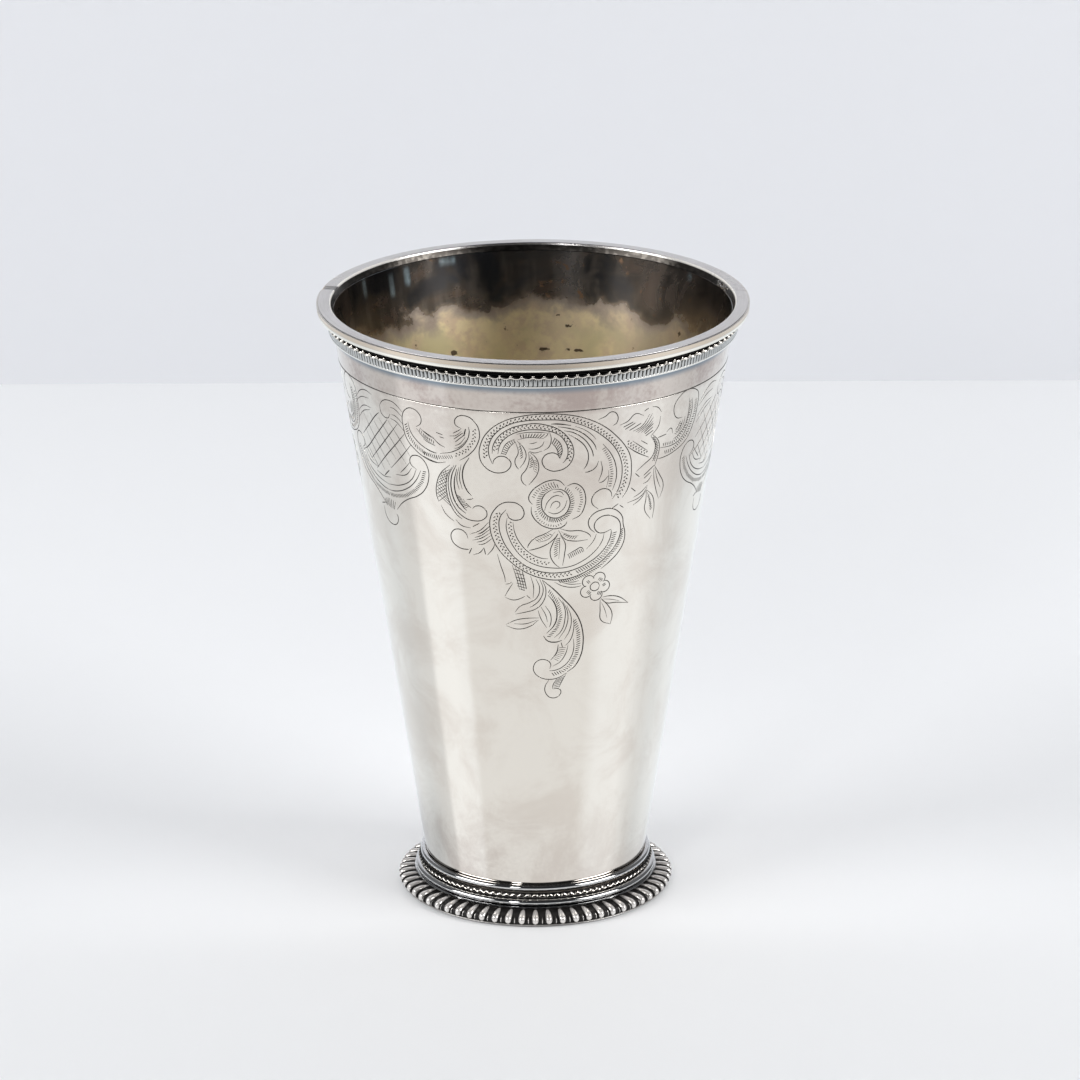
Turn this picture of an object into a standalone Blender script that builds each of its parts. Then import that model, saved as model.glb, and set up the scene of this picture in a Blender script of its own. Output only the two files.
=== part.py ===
"""Tall silver beaker: a tapered body with an applied lip, beaded and reeded borders and a gadrooned foot.

Each piece that is soldered on when such a beaker is made is an object of its own. Lengths are in
metres, +Z is up, and the origin lies on the table in the middle of the foot.
"""

import math

import bmesh
import bpy
from mathutils import Vector

MM = 0.001

# Overall height, and the seam that solder fills between neighbouring pieces
HEIGHT = 130.0 * MM
SEAT_GAP = 0.3 * MM

# Body: a cone of sheet silver whose side is a little hollow, with a disc let into its lower end
WALL_THICKNESS = 0.8 * MM
WALL_FOOT_RADIUS = 22.8 * MM
WALL_MOUTH_RADIUS = 42.45 * MM
WALL_HOLLOW = 0.18 * MM
WALL_LIFT = 2.6 * MM
BASE_RISE = 0.9 * MM
BASE_THICKNESS = 1.0 * MM

# Lip: a drawn moulding, rebated to sit over the upper edge of the wall
LIP_STAND = 1.6 * MM
LIP_WIDTH = 3.0 * MM
LIP_HEIGHT = 1.8 * MM
LIP_STEP = 0.3 * MM
LIP_REBATE = 0.45 * MM
LIP_EDGE = 0.15 * MM
SLEEVE_THICKNESS = 0.7 * MM
SLEEVE_LENGTH = 1.1 * MM

# Borders under the lip: a row of beads above an upright reeded strip
BEAD_COUNT = 126
BEAD_HEIGHT = 1.1 * MM
BEAD_REACH = 1.0 * MM
BEAD_DEPTH = 0.6 * MM
REED_COUNT = 264
REED_HEIGHT = 1.75 * MM
REED_REACH = 0.8 * MM
REED_DEPTH = 0.3 * MM

# Foot, from the table up: flat plate, gadroon border, torus, milled wire and collar, around a socket
PLATE_THICKNESS = 0.9 * MM
PLATE_LEDGE = 1.6 * MM
PLATE_EDGE = 0.2 * MM
SOCKET_THICKNESS = 0.6 * MM
GADROON_COUNT = 62
GADROON_LIFT = 0.3 * MM
GADROON_HEIGHT = 2.95 * MM
GADROON_WIDTH = 5.4 * MM
GADROON_SHOULDER = 1.5 * MM
GADROON_BELLY = 1.0 * MM
GADROON_UNDERCUT = 0.5 * MM
GADROON_OVERHANG = 1.6 * MM
GADROON_DEPTH = 0.8 * MM
TORUS_HEIGHT = 1.4 * MM
TORUS_REACH = 1.7 * MM
MILLED_COUNT = 104
MILLED_HEIGHT = 0.75 * MM
MILLED_REACH = 0.65 * MM
MILLED_DEPTH = 0.3 * MM
COLLAR_HEIGHT = 1.4 * MM
COLLAR_REACH = 0.95 * MM

# Facets: steps around a turned piece, rings up the wall, points on a rounded face and on each repeat
TURN_STEPS = 48
WALL_RINGS = 4
ROUND_POINTS = 5
BEAD_FACETS = 4
REED_FACETS = 2
MILLED_FACETS = 3
LOBE_FACETS = 4
MERGE_DISTANCE = 0.00001
SHARP_ANGLE = math.radians(40)

# Heights above the table that follow from the sizes above
WALL_TOP = HEIGHT - LIP_STAND
SLEEVE_BOTTOM = WALL_TOP - SLEEVE_LENGTH
BEAD_BOTTOM = SLEEVE_BOTTOM - SEAT_GAP - BEAD_HEIGHT
REED_BOTTOM = BEAD_BOTTOM - SEAT_GAP - REED_HEIGHT
GADROON_TOP = GADROON_LIFT + GADROON_HEIGHT
TORUS_BOTTOM = GADROON_TOP + SEAT_GAP
MILLED_BOTTOM = TORUS_BOTTOM + TORUS_HEIGHT + SEAT_GAP
SOCKET_BOTTOM = PLATE_THICKNESS + SEAT_GAP
SOCKET_TOP = MILLED_BOTTOM + MILLED_HEIGHT
COLLAR_BOTTOM = SOCKET_TOP + SEAT_GAP


def wall_outside(height):
    """Radius of the wall's outer side: a straight taper with a slight hollow between its ends."""
    share = (height - WALL_LIFT) / (WALL_TOP - WALL_LIFT)
    straight = WALL_FOOT_RADIUS + (WALL_MOUTH_RADIUS - WALL_FOOT_RADIUS) * share
    return straight - WALL_HOLLOW * 4 * share * (1 - share)


def wall_inside(height):
    return wall_outside(height) - WALL_THICKNESS


def wall_seat(height):
    """Inner radius of a piece that is soldered on around the wall."""
    return wall_outside(height) + SEAT_GAP


def socket_seat(height):
    """Inner radius of a piece that is soldered on around the foot's socket."""
    return wall_seat(height) + SOCKET_THICKNESS + SEAT_GAP


# Radii of the foot that follow from its seat on the socket
GADROON_BORE = socket_seat(GADROON_TOP)
FOOT_RADIUS = GADROON_BORE + GADROON_WIDTH
PLATE_RADIUS = FOOT_RADIUS - GADROON_OVERHANG
PLATE_BORE = wall_seat(SOCKET_BOTTOM) - PLATE_LEDGE


def clear_scene():
    for thing in list(bpy.data.objects):
        bpy.data.objects.remove(thing, do_unlink=True)


def silver(name, colour, roughness):
    material = bpy.data.materials.new(name)
    material.use_nodes = True
    shader = material.node_tree.nodes["Principled BSDF"]
    shader.inputs["Base Color"].default_value = (*colour, 1.0)
    shader.inputs["Roughness"].default_value = roughness
    shader.inputs["Metallic"].default_value = 1.0
    return material


def add_piece(name, mesh, base, material):
    """Puts a finished mesh into the beaker's collection, with its origin on the axis at height base."""
    mesh.name = name
    mesh.materials.clear()
    mesh.materials.append(material)
    mesh.shade_smooth()
    mesh.set_sharp_from_angle(angle=SHARP_ANGLE)
    piece = bpy.data.objects.new(name, mesh)
    piece.location.z = base
    piece.parent = axis
    beaker.objects.link(piece)
    return piece


def evaluated_mesh(source):
    """The mesh of an object as its modifiers or its curve settings make it, with the object removed."""
    bpy.context.scene.collection.objects.link(source)
    graph = bpy.context.evaluated_depsgraph_get()
    mesh = bpy.data.meshes.new_from_object(source.evaluated_get(graph))
    bpy.data.objects.remove(source, do_unlink=True)
    return mesh


def turned_mesh(outline, base, steps=TURN_STEPS, pull=None):
    """Turns a closed outline of (radius, height) points, which runs down its outer side, about the axis.

    The points with an index in pull go into a vertex group with the share given there.
    """
    profile = bpy.data.meshes.new("profile")
    shape = bmesh.new()
    points = [shape.verts.new((radius, 0, height - base)) for radius, height in outline]
    for first, second in zip(points, points[1:] + points[:1]):
        shape.edges.new((first, second))
    shape.to_mesh(profile)
    shape.free()
    source = bpy.data.objects.new("profile", profile)
    group = source.vertex_groups.new(name="pull")
    for index, share in (pull or {}).items():
        group.add([index], share, "REPLACE")
    turn = source.modifiers.new("turn", "SCREW")
    turn.steps = steps
    turn.render_steps = steps
    turn.use_merge_vertices = True
    turn.merge_threshold = MERGE_DISTANCE
    return evaluated_mesh(source)


def scalloped_mesh(count, facets, reach, depth, seat, bottom, height):
    """An upright ring with round scallops around its outside, which leans with the seat that it fits.

    seat gives the ring's inner radius at a height above the table, reach is the ring's thickness at a
    crest, and depth is how far the hollows between the crests are cut in.
    """
    middle = bottom + height / 2
    bore = seat(middle)
    curve = bpy.data.curves.new("scallops", "CURVE")
    curve.dimensions = "2D"
    curve.fill_mode = "BOTH"
    curve.extrude = height / 2

    def add_outline(radii):
        spline = curve.splines.new("POLY")
        spline.points.add(len(radii) - 1)
        spline.use_cyclic_u = True
        for index, radius in enumerate(radii):
            angle = math.tau * index / len(radii)
            spline.points[index].co = (radius * math.cos(angle), radius * math.sin(angle), 0, 1)

    add_outline([bore + reach - depth * hollow(index, facets) for index in range(count * facets)])
    add_outline([bore] * TURN_STEPS)
    mesh = evaluated_mesh(bpy.data.objects.new("scallops", curve))
    bpy.data.curves.remove(curve)
    shape = bmesh.new()
    shape.from_mesh(mesh)
    bmesh.ops.remove_doubles(shape, verts=shape.verts, dist=MERGE_DISTANCE)
    for vertex in shape.verts:
        radius = vertex.co.xy.length
        lean = seat(middle + vertex.co.z) - bore
        vertex.co.xy *= (radius + lean) / radius
    shape.to_mesh(mesh)
    shape.free()
    return mesh


def hollow(index, facets):
    """0 on the crest of a repeat and 1 in the hollow between two, round like a half circle."""
    across = (index % facets) / facets
    off_crest = 2 * min(across, 1 - across)
    return 1 - math.sqrt(max(0.0, 1 - off_crest**2))


def arc(radius, height, reach, rise, start, end, points=ROUND_POINTS):
    """Points on an ellipse about (radius, height), from one angle to another in degrees."""
    angles = [math.radians(start + (end - start) * index / (points - 1)) for index in range(points)]
    return [(radius + reach * math.cos(angle), height + rise * math.sin(angle)) for angle in angles]


def half_round(seat, bottom, height, reach):
    """Outline of a half-round wire whose flat inner side fits a leaning seat."""
    middle = bottom + height / 2
    rounded = arc(0, middle, reach, height / 2, 90, -90)
    return [(seat(level) + out, level) for out, level in rounded]


def make_body_wall():
    levels = [WALL_TOP + (WALL_LIFT - WALL_TOP) * ring / (WALL_RINGS - 1) for ring in range(WALL_RINGS)]
    outer = [(wall_outside(level), level) for level in levels]
    inner = [(wall_inside(level), level) for level in reversed(levels)]
    mesh = turned_mesh(outer + inner, WALL_LIFT)
    add_piece("body_wall", mesh, WALL_LIFT, silver("body_silver", (0.80, 0.77, 0.74), 0.18))


def make_base_disc():
    bottom = WALL_LIFT + BASE_RISE
    top = bottom + BASE_THICKNESS
    shape = bmesh.new()
    bmesh.ops.create_cone(
        shape,
        cap_ends=True,
        segments=TURN_STEPS,
        radius1=wall_inside(bottom) - SEAT_GAP,
        radius2=wall_inside(top) - SEAT_GAP,
        depth=BASE_THICKNESS,
    )
    mesh = bpy.data.meshes.new("base_disc")
    shape.to_mesh(mesh)
    shape.free()
    middle = bottom + BASE_THICKNESS / 2
    add_piece("base_disc", mesh, middle, silver("base_silver", (0.72, 0.66, 0.52), 0.35))


def make_lip_ring():
    sleeve_bore = wall_seat(WALL_TOP)
    sleeve_outside = sleeve_bore + SLEEVE_THICKNESS
    bore = sleeve_bore - LIP_REBATE
    face = bore + LIP_WIDTH - LIP_STEP
    face_top = HEIGHT - LIP_STEP
    face_bottom = HEIGHT - LIP_HEIGHT
    rebate_top = WALL_TOP + SEAT_GAP
    face_middle = (face_top + face_bottom) / 2
    outline = [(bore + LIP_EDGE, HEIGHT), (face, HEIGHT)]
    outline += arc(face, face_middle, LIP_STEP, face_top - face_middle, 90, -90)
    outline += [(sleeve_outside, face_bottom), (sleeve_outside, SLEEVE_BOTTOM)]
    outline += [(sleeve_bore, SLEEVE_BOTTOM), (sleeve_bore, rebate_top)]
    outline += [(bore, rebate_top), (bore, HEIGHT - LIP_EDGE)]
    mesh = turned_mesh(outline, SLEEVE_BOTTOM)
    add_piece("lip_ring", mesh, SLEEVE_BOTTOM, silver("lip_silver", (0.76, 0.74, 0.72), 0.16))


def make_bead_wire():
    mesh = scalloped_mesh(
        BEAD_COUNT, BEAD_FACETS, BEAD_REACH, BEAD_DEPTH, wall_seat, BEAD_BOTTOM, BEAD_HEIGHT
    )
    material = silver("bead_silver", (0.62, 0.60, 0.58), 0.22)
    add_piece("bead_wire", mesh, BEAD_BOTTOM + BEAD_HEIGHT / 2, material)


def make_reeded_strip():
    mesh = scalloped_mesh(
        REED_COUNT, REED_FACETS, REED_REACH, REED_DEPTH, wall_seat, REED_BOTTOM, REED_HEIGHT
    )
    material = silver("reed_silver", (0.66, 0.64, 0.62), 0.24)
    add_piece("reeded_strip", mesh, REED_BOTTOM + REED_HEIGHT / 2, material)


def make_collar_wire():
    outline = half_round(wall_seat, COLLAR_BOTTOM, COLLAR_HEIGHT, COLLAR_REACH)
    mesh = turned_mesh(outline, COLLAR_BOTTOM)
    add_piece("collar_wire", mesh, COLLAR_BOTTOM, silver("collar_silver", (0.70, 0.69, 0.68), 0.14))


def make_milled_wire():
    mesh = scalloped_mesh(
        MILLED_COUNT, MILLED_FACETS, MILLED_REACH, MILLED_DEPTH, socket_seat, MILLED_BOTTOM, MILLED_HEIGHT
    )
    material = silver("milled_silver", (0.58, 0.56, 0.54), 0.25)
    add_piece("milled_wire", mesh, MILLED_BOTTOM + MILLED_HEIGHT / 2, material)


def make_torus_wire():
    outline = half_round(socket_seat, TORUS_BOTTOM, TORUS_HEIGHT, TORUS_REACH)
    mesh = turned_mesh(outline, TORUS_BOTTOM)
    add_piece("torus_wire", mesh, TORUS_BOTTOM, silver("torus_silver", (0.70, 0.69, 0.68), 0.14))


def make_foot_socket():
    outline = []
    for level in (SOCKET_TOP, SOCKET_BOTTOM):
        outline.append((wall_seat(level) + SOCKET_THICKNESS, level))
    for level in (SOCKET_BOTTOM, SOCKET_TOP):
        outline.append((wall_seat(level), level))
    mesh = turned_mesh(outline, SOCKET_BOTTOM)
    add_piece("foot_socket", mesh, SOCKET_BOTTOM, silver("socket_silver", (0.40, 0.38, 0.36), 0.40))


def make_gadroon_border():
    shoulder = GADROON_BORE + GADROON_SHOULDER
    belly = GADROON_LIFT + GADROON_BELLY
    swell = FOOT_RADIUS - shoulder
    lobe = arc(shoulder, belly, swell, GADROON_TOP - belly, 90, 0)
    lobe.append((FOOT_RADIUS - GADROON_UNDERCUT, GADROON_LIFT))
    plate_clear = PLATE_RADIUS + SEAT_GAP
    plate_over = PLATE_THICKNESS + SEAT_GAP
    under = [(plate_clear, GADROON_LIFT), (plate_clear, plate_over)]
    under += [(GADROON_BORE, plate_over), (GADROON_BORE, GADROON_TOP)]
    # The hollows between the lobes are cut into every point of the lobe but its first and last
    pull = {index: 1.0 for index in range(1, len(lobe) - 1)}
    steps = GADROON_COUNT * LOBE_FACETS
    mesh = turned_mesh(lobe + under, GADROON_LIFT, steps, pull)
    for vertex in mesh.vertices:
        angle = math.atan2(vertex.co.y, vertex.co.x)
        share = sum(member.weight for member in vertex.groups)
        cut = GADROON_DEPTH * share * hollow(round(angle / math.tau * steps), LOBE_FACETS)
        core = Vector((shoulder * math.cos(angle), shoulder * math.sin(angle), 0))
        vertex.co += (core - vertex.co).normalized() * cut
    add_piece("gadroon_border", mesh, GADROON_LIFT, silver("gadroon_silver", (0.62, 0.61, 0.60), 0.20))


def make_foot_plate():
    outline = [(PLATE_RADIUS - PLATE_EDGE, PLATE_THICKNESS), (PLATE_RADIUS, PLATE_THICKNESS - PLATE_EDGE)]
    outline += [(PLATE_RADIUS, 0), (PLATE_BORE, 0), (PLATE_BORE, PLATE_THICKNESS)]
    mesh = turned_mesh(outline, 0)
    add_piece("foot_plate", mesh, 0, silver("plate_silver", (0.66, 0.64, 0.62), 0.35))


clear_scene()
beaker = bpy.data.collections.new("silver_beaker")
bpy.context.scene.collection.children.link(beaker)
axis = bpy.data.objects.new("beaker_axis", None)
beaker.objects.link(axis)

make_body_wall()
make_base_disc()
make_lip_ring()
make_bead_wire()
make_reeded_strip()
make_collar_wire()
make_milled_wire()
make_torus_wire()
make_foot_socket()
make_gadroon_border()
make_foot_plate()
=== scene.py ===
# %% [markdown]
# # A tall engraved silver beaker
# The beaker is a tapered cup of sheet silver with a drawn lip, a row of beads, a reeded strip and a
# gadrooned foot, all soldered on, and its wall is cut with scrolls, roses and latticed panels. The packed
# CAD model gives the frame. Every piece below is a finer copy of one CAD node, or a cut in it.

# %% Frame
import math

import bmesh
import bpy
from mathutils import Matrix, Vector


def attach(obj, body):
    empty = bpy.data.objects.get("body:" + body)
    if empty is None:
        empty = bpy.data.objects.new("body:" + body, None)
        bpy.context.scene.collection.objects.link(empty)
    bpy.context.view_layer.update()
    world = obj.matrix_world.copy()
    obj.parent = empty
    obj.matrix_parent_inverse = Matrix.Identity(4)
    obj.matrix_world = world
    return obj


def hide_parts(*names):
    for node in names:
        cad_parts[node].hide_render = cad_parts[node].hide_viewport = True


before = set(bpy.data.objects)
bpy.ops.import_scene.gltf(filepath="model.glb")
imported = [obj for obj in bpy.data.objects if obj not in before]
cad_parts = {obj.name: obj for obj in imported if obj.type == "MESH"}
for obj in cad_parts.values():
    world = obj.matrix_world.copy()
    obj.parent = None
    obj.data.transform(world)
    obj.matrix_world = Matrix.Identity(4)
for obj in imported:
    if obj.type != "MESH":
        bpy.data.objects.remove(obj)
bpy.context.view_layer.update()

MM = 0.001

# %% [markdown]
# ## Camera
# The photograph looks about nineteen degrees down with a long lens. A pinhole camera was fitted to the
# ellipses of the lip and foot and to the sides of the wall, and its values are used here as they came
# out.

# %% Camera
LENS = 200.0
SENSOR = 36.0
EYE = Vector((1.27, -1200.7, 493.2)) * MM
LOOK_DOWN = 19.13
ROLL = -0.22

camera = bpy.data.objects.new("camera", bpy.data.cameras.new("camera"))
camera.data.lens = LENS
camera.data.sensor_width = SENSOR
tilt = Matrix.Rotation(math.radians(90 - LOOK_DOWN), 4, "X")
roll = Matrix.Rotation(math.radians(ROLL), 4, "Z")
camera.matrix_world = Matrix.Translation(EYE) @ tilt @ roll
bpy.context.scene.collection.objects.link(camera)
bpy.context.scene.camera = camera
bpy.context.scene.view_settings.view_transform = "Standard"
print("camera at mm:", [round(value / MM) for value in EYE])

# %% [markdown]
# ## Node helpers
# Every finish is built from nodes in code. One small helper adds a node, sets its options and either
# links or fills its sockets. The others use it for the few kinds of node that come again and again.


# %% Node helpers
def add_node(tree, kind, sockets=None, **options):
    made = tree.nodes.new(kind)
    for name, value in options.items():
        setattr(made, name, value)
    for name, value in (sockets or {}).items():
        if isinstance(value, bpy.types.NodeSocket):
            tree.links.new(value, made.inputs[name])
        else:
            made.inputs[name].default_value = value
    return made


def mix_colours(tree, share, first, second):
    mixer = add_node(tree, "ShaderNodeMix", data_type="RGBA")
    for socket, value in zip((mixer.inputs[0], mixer.inputs[6], mixer.inputs[7]), (share, first, second)):
        if isinstance(value, bpy.types.NodeSocket):
            tree.links.new(value, socket)
        elif isinstance(value, float):
            socket.default_value = value
        else:
            socket.default_value = (*value, 1.0)
    return mixer.outputs[2]


def map_range(tree, value, low, high, to_low=0.0, to_high=1.0):
    sockets = {"Value": value, "From Min": low, "From Max": high, "To Min": to_low, "To Max": to_high}
    return add_node(tree, "ShaderNodeMapRange", sockets, interpolation_type="SMOOTHSTEP").outputs[0]


def calculate(tree, operation, first, second=0.0):
    return add_node(tree, "ShaderNodeMath", {0: first, 1: second}, operation=operation).outputs[0]


def times(tree, first, second):
    return calculate(tree, "MULTIPLY", first, second)


def object_place(tree):
    """The point itself, in metres from the middle of the foot."""
    return add_node(tree, "ShaderNodeTexCoord").outputs["Object"]


def noise(tree, place, scale, detail=2.0, **more):
    sockets = {"Vector": place, "Scale": scale, "Detail": detail, **more}
    return add_node(tree, "ShaderNodeTexNoise", sockets).outputs["Fac"]


def new_material(name):
    material = bpy.data.materials.new(name)
    material.use_nodes = True
    return material, material.node_tree, material.node_tree.nodes["Principled BSDF"]


# %% [markdown]
# ## Floor and backdrop
# The beaker stands on a pale table with an upright backdrop a third of a metre behind it. The table carries
# painted light: its tone is painted paler towards the back, and the light that the wall throws back on to
# it is painted in too, so the table is a little paler close behind the beaker. The backdrop is clear when
# it is seen from behind, so that the far side of the beaker can be looked at as well.

# %% Floor and backdrop
FLOOR_FRONT = -1.6
FLOOR_BACK = 0.352
BACKDROP_TOP = 1.4
STAGE_HALF_WIDTH = 1.6
PAPER_ROUGHNESS = 0.65
BOUNCE_GLOW_END = 0.17
BOUNCE_GLOW_SHARE = 0.75


def sheet_place(tree):
    """Nodes that give X, Y and Z on a sheet, and the distance from the middle of the foot."""
    place = object_place(tree)
    axes = add_node(tree, "ShaderNodeSeparateXYZ", {"Vector": place}).outputs
    return axes, add_node(tree, "ShaderNodeVectorMath", {0: place}, operation="LENGTH").outputs["Value"]


def paper(name, front, back, bounce_glow):
    """A matt sheet whose tone drifts from front to back as painted light, and is painted paler where the
    wall throws light on it.
    """
    material, tree, shader = new_material(name)
    axes, reach = sheet_place(tree)
    drift = noise(tree, object_place(tree), 3.0)
    depth = calculate(tree, "ADD", axes["Y"], times(tree, drift, 0.06))
    # Painted light: the tone turns paler from front to back.
    tone = mix_colours(tree, map_range(tree, depth, -0.12, 0.18), front, back)
    # Painted light: paler close behind the beaker, where the wall throws light back.
    close = map_range(tree, reach, 0.05, BOUNCE_GLOW_END, BOUNCE_GLOW_SHARE, 0.0)
    close = times(tree, close, map_range(tree, axes["Y"], -0.05, 0.0))
    tree.links.new(mix_colours(tree, close, tone, bounce_glow), shader.inputs["Base Color"])
    shader.inputs["Roughness"].default_value = PAPER_ROUGHNESS
    return material, tree, shader


def glow_in_mirrors(tree, shader, share, colour, strength):
    """Paints a reflection: reflected rays see the sheet glow with a light of its own in place of the lit
    sheet.
    """
    seen = add_node(tree, "ShaderNodeEmission", {"Color": colour, "Strength": strength})
    mirrored_ray = add_node(tree, "ShaderNodeLightPath").outputs["Is Glossy Ray"]
    share = times(tree, mirrored_ray, share)
    either = add_node(tree, "ShaderNodeMixShader", {0: share, 1: shader.outputs[0], 2: seen.outputs[0]})
    tree.links.new(either.outputs[0], tree.nodes["Material Output"].inputs["Surface"])


def clear_from_behind(tree):
    """Lets a camera behind the sheet look through it."""
    surface = tree.nodes["Material Output"].inputs["Surface"]
    clear = add_node(tree, "ShaderNodeBsdfTransparent").outputs[0]
    behind = add_node(tree, "ShaderNodeNewGeometry").outputs["Backfacing"]
    either = add_node(tree, "ShaderNodeMixShader", {0: behind, 1: surface.links[0].from_socket, 2: clear})
    tree.links.new(either.outputs[0], surface)


BACKDROP = (0.69, 0.697, 0.722)
BACKDROP_GLOW = (0.95, 0.97, 1.0, 1.0)
BACKDROP_GLOW_STRENGTH = 0.17
backdrop_grey, tree, shader = paper("backdrop_grey", BACKDROP, BACKDROP, BACKDROP)
# Painted reflection: towards the sides the backdrop glows for reflected rays.
across_stage = add_node(tree, "ShaderNodeSeparateXYZ", {"Vector": object_place(tree)}).outputs["X"]
aside = map_range(tree, calculate(tree, "ABSOLUTE", across_stage), 0.14, 0.3)
glow_in_mirrors(tree, shader, aside, BACKDROP_GLOW, BACKDROP_GLOW_STRENGTH)
clear_from_behind(tree)
floor_white, tree, shader = paper(
    "floor_white", front=(0.785, 0.79, 0.795), back=(0.905, 0.91, 0.915), bounce_glow=(0.97, 0.975, 0.98)
)

shape = bmesh.new()
front = [shape.verts.new((side * STAGE_HALF_WIDTH, FLOOR_FRONT, 0)) for side in (-1, 1)]
edge = [shape.edges.new(front)]
for step in ((0, FLOOR_BACK - FLOOR_FRONT, 0), (0, 0, BACKDROP_TOP)):
    swept = bmesh.ops.extrude_edge_only(shape, edges=edge)["geom"]
    row = [item for item in swept if isinstance(item, bmesh.types.BMVert)]
    edge = [item for item in swept if isinstance(item, bmesh.types.BMEdge) and set(item.verts) == set(row)]
    bmesh.ops.translate(shape, verts=row, vec=step)
bmesh.ops.recalc_face_normals(shape, faces=shape.faces[:])
if max(face.normal.z for face in shape.faces) < 0.5:
    bmesh.ops.reverse_faces(shape, faces=shape.faces[:])
for face in shape.faces:
    face.material_index = int(face.normal.z < 0.5)
floor_mesh = bpy.data.meshes.new("floor")
shape.to_mesh(floor_mesh)
shape.free()
floor_mesh.materials.append(floor_white)
floor_mesh.materials.append(backdrop_grey)
floor = bpy.data.objects.new("floor", floor_mesh)
bpy.context.scene.collection.objects.link(floor)
print("floor reaches back to mm:", FLOOR_BACK / MM)

# %% [markdown]
# ## Painted reflection of the table
# A polished cone that leans out shows little but the table around it, so the table decides how the wall
# looks. For reflected rays alone the table glows with a painted reflection: two bright sectors beside the
# beaker stand for white studio cards, a painted shadow lies close to the foot, most on the left, and the
# glow ends in front, where the dark room begins. A place on the table is turned into the angle on the wall
# that mirrors it.

# %% Painted reflection of the table
PLAIN = (0.988, 1.0, 1.012)
COOL = (0.97, 1.0, 1.033)
COOLER = (0.949, 1.0, 1.051)
# Each stop is an angle on the wall in degrees, counted from the camera's side to the right, the tint of
# the glow painted for it and how bright it is.
PAINTED_TABLE_GLOW = (
    (-90, COOLER, 0.97), (-80, COOLER, 0.95), (-70, COOLER, 0.91), (-60, COOLER, 0.82), (-50, COOL, 0.79),
    (-45.5, COOL, 0.81), (-43, COOL, 1.05), (-34, COOL, 1.07), (-27.5, COOL, 1.03), (-25, PLAIN, 0.87),
    (0, PLAIN, 0.86), (21, PLAIN, 0.88), (28, COOL, 1.0), (41, COOL, 1.02), (47.5, COOL, 0.90),
    (52, COOL, 0.83), (60, COOLER, 0.87), (70, COOLER, 0.97), (90, COOLER, 0.97),
)
TABLE_END = -0.26
ROOM_START = -0.36
ROOM_LIGHT = 0.03
FAR_RATIO = 2.011
FOOT_REACH = 0.0225

axes, reach = sheet_place(tree)
behind = axes["Y"]
azimuth = calculate(tree, "ARCTAN2", axes["X"], times(tree, behind, -1.0))
ratio = calculate(tree, "SUBTRACT", FAR_RATIO, calculate(tree, "DIVIDE", FOOT_REACH, reach))
wall_angle = calculate(tree, "DEGREES", calculate(tree, "DIVIDE", azimuth, ratio))
turn = calculate(tree, "ADD", calculate(tree, "DIVIDE", wall_angle, 180.0), 0.5)
glow_tones = add_node(tree, "ShaderNodeValToRGB", {"Fac": turn})
stops = glow_tones.color_ramp.elements
for angle, tint, light in PAINTED_TABLE_GLOW[1:-1]:
    stops.new((angle + 90) / 180)
for stop, (angle, tint, light) in zip(stops, PAINTED_TABLE_GLOW):
    stop.color = (*(part * light for part in tint), 1.0)
# Painted shadow in the reflection: the glow is dimmer close to the foot, most on the left.
painted_shadow = times(tree, map_range(tree, reach, 0.03, 0.07, 0.3, 0.0), map_range(tree, behind, -0.02, 0.002))
painted_shadow = times(tree, painted_shadow, map_range(tree, axes["X"], -0.02, 0.02, 1.0, 0.35))
light = map_range(tree, behind, ROOM_START, TABLE_END, ROOM_LIGHT, 1.0)
glow_in_mirrors(tree, shader, 1.0, glow_tones.outputs["Color"], calculate(tree, "SUBTRACT", light, painted_shadow))
print("table tones:", len(PAINTED_TABLE_GLOW))

# %% [markdown]
# ## Light
# A studio with one large soft box on each side and a narrow window beside the camera, in a dark room. The
# boxes give the long highlights on the rings of the foot, and between them those rings stay dark.


# %% Light
def soft_box(name, azimuth, distance, height, width, tall, power):
    """A rectangular lamp that faces the beaker. Azimuth is counted from the camera's side to the right."""
    lamp = bpy.data.lights.new(name, "AREA")
    lamp.shape = "RECTANGLE"
    lamp.size = width
    lamp.size_y = tall
    lamp.energy = power
    turn = math.radians(azimuth)
    box = bpy.data.objects.new(name, lamp)
    box.location = (distance * math.sin(turn), -distance * math.cos(turn), height)
    aim = Vector((0, 0, 0.05)) - box.location
    box.rotation_euler = aim.to_track_quat("-Z", "Y").to_euler()
    bpy.context.scene.collection.objects.link(box)


soft_box("box_left", azimuth=-67, distance=0.9, height=0.52, width=0.66, tall=0.5, power=5.7)
soft_box("box_right", azimuth=67, distance=0.9, height=0.52, width=0.66, tall=0.5, power=6.72)
soft_box("window", azimuth=-21, distance=1.3, height=0.75, width=0.2, tall=0.4, power=2.5)
ROOM_COLOUR = (0.92, 0.95, 1.0, 1.0)
ROOM_DIFFUSE = 0.35
ROOM_MIRRORED = 0.035
world = bpy.data.worlds.new("room")
world.use_nodes = True
room = world.node_tree.nodes["Background"]
room.inputs["Color"].default_value = ROOM_COLOUR
mirrored_ray = add_node(world.node_tree, "ShaderNodeLightPath").outputs["Is Glossy Ray"]
room_light = map_range(world.node_tree, mirrored_ray, 0.0, 1.0, ROOM_DIFFUSE, ROOM_MIRRORED)
world.node_tree.links.new(room_light, room.inputs["Strength"])
bpy.context.scene.world = world

# %% [markdown]
# ## Old silver
# Silver keeps its polish where hands and cloth reach it and turns warm grey, then nearly black, where
# they don't. Each piece carries a point value named hollow, from 0 on a crest to 1 at the bottom
# of a recess; on the beads it also carries painted shade. One shared group turns that value and two noises
# into a colour, a roughness, a fine height and a mask of blotches.

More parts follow.
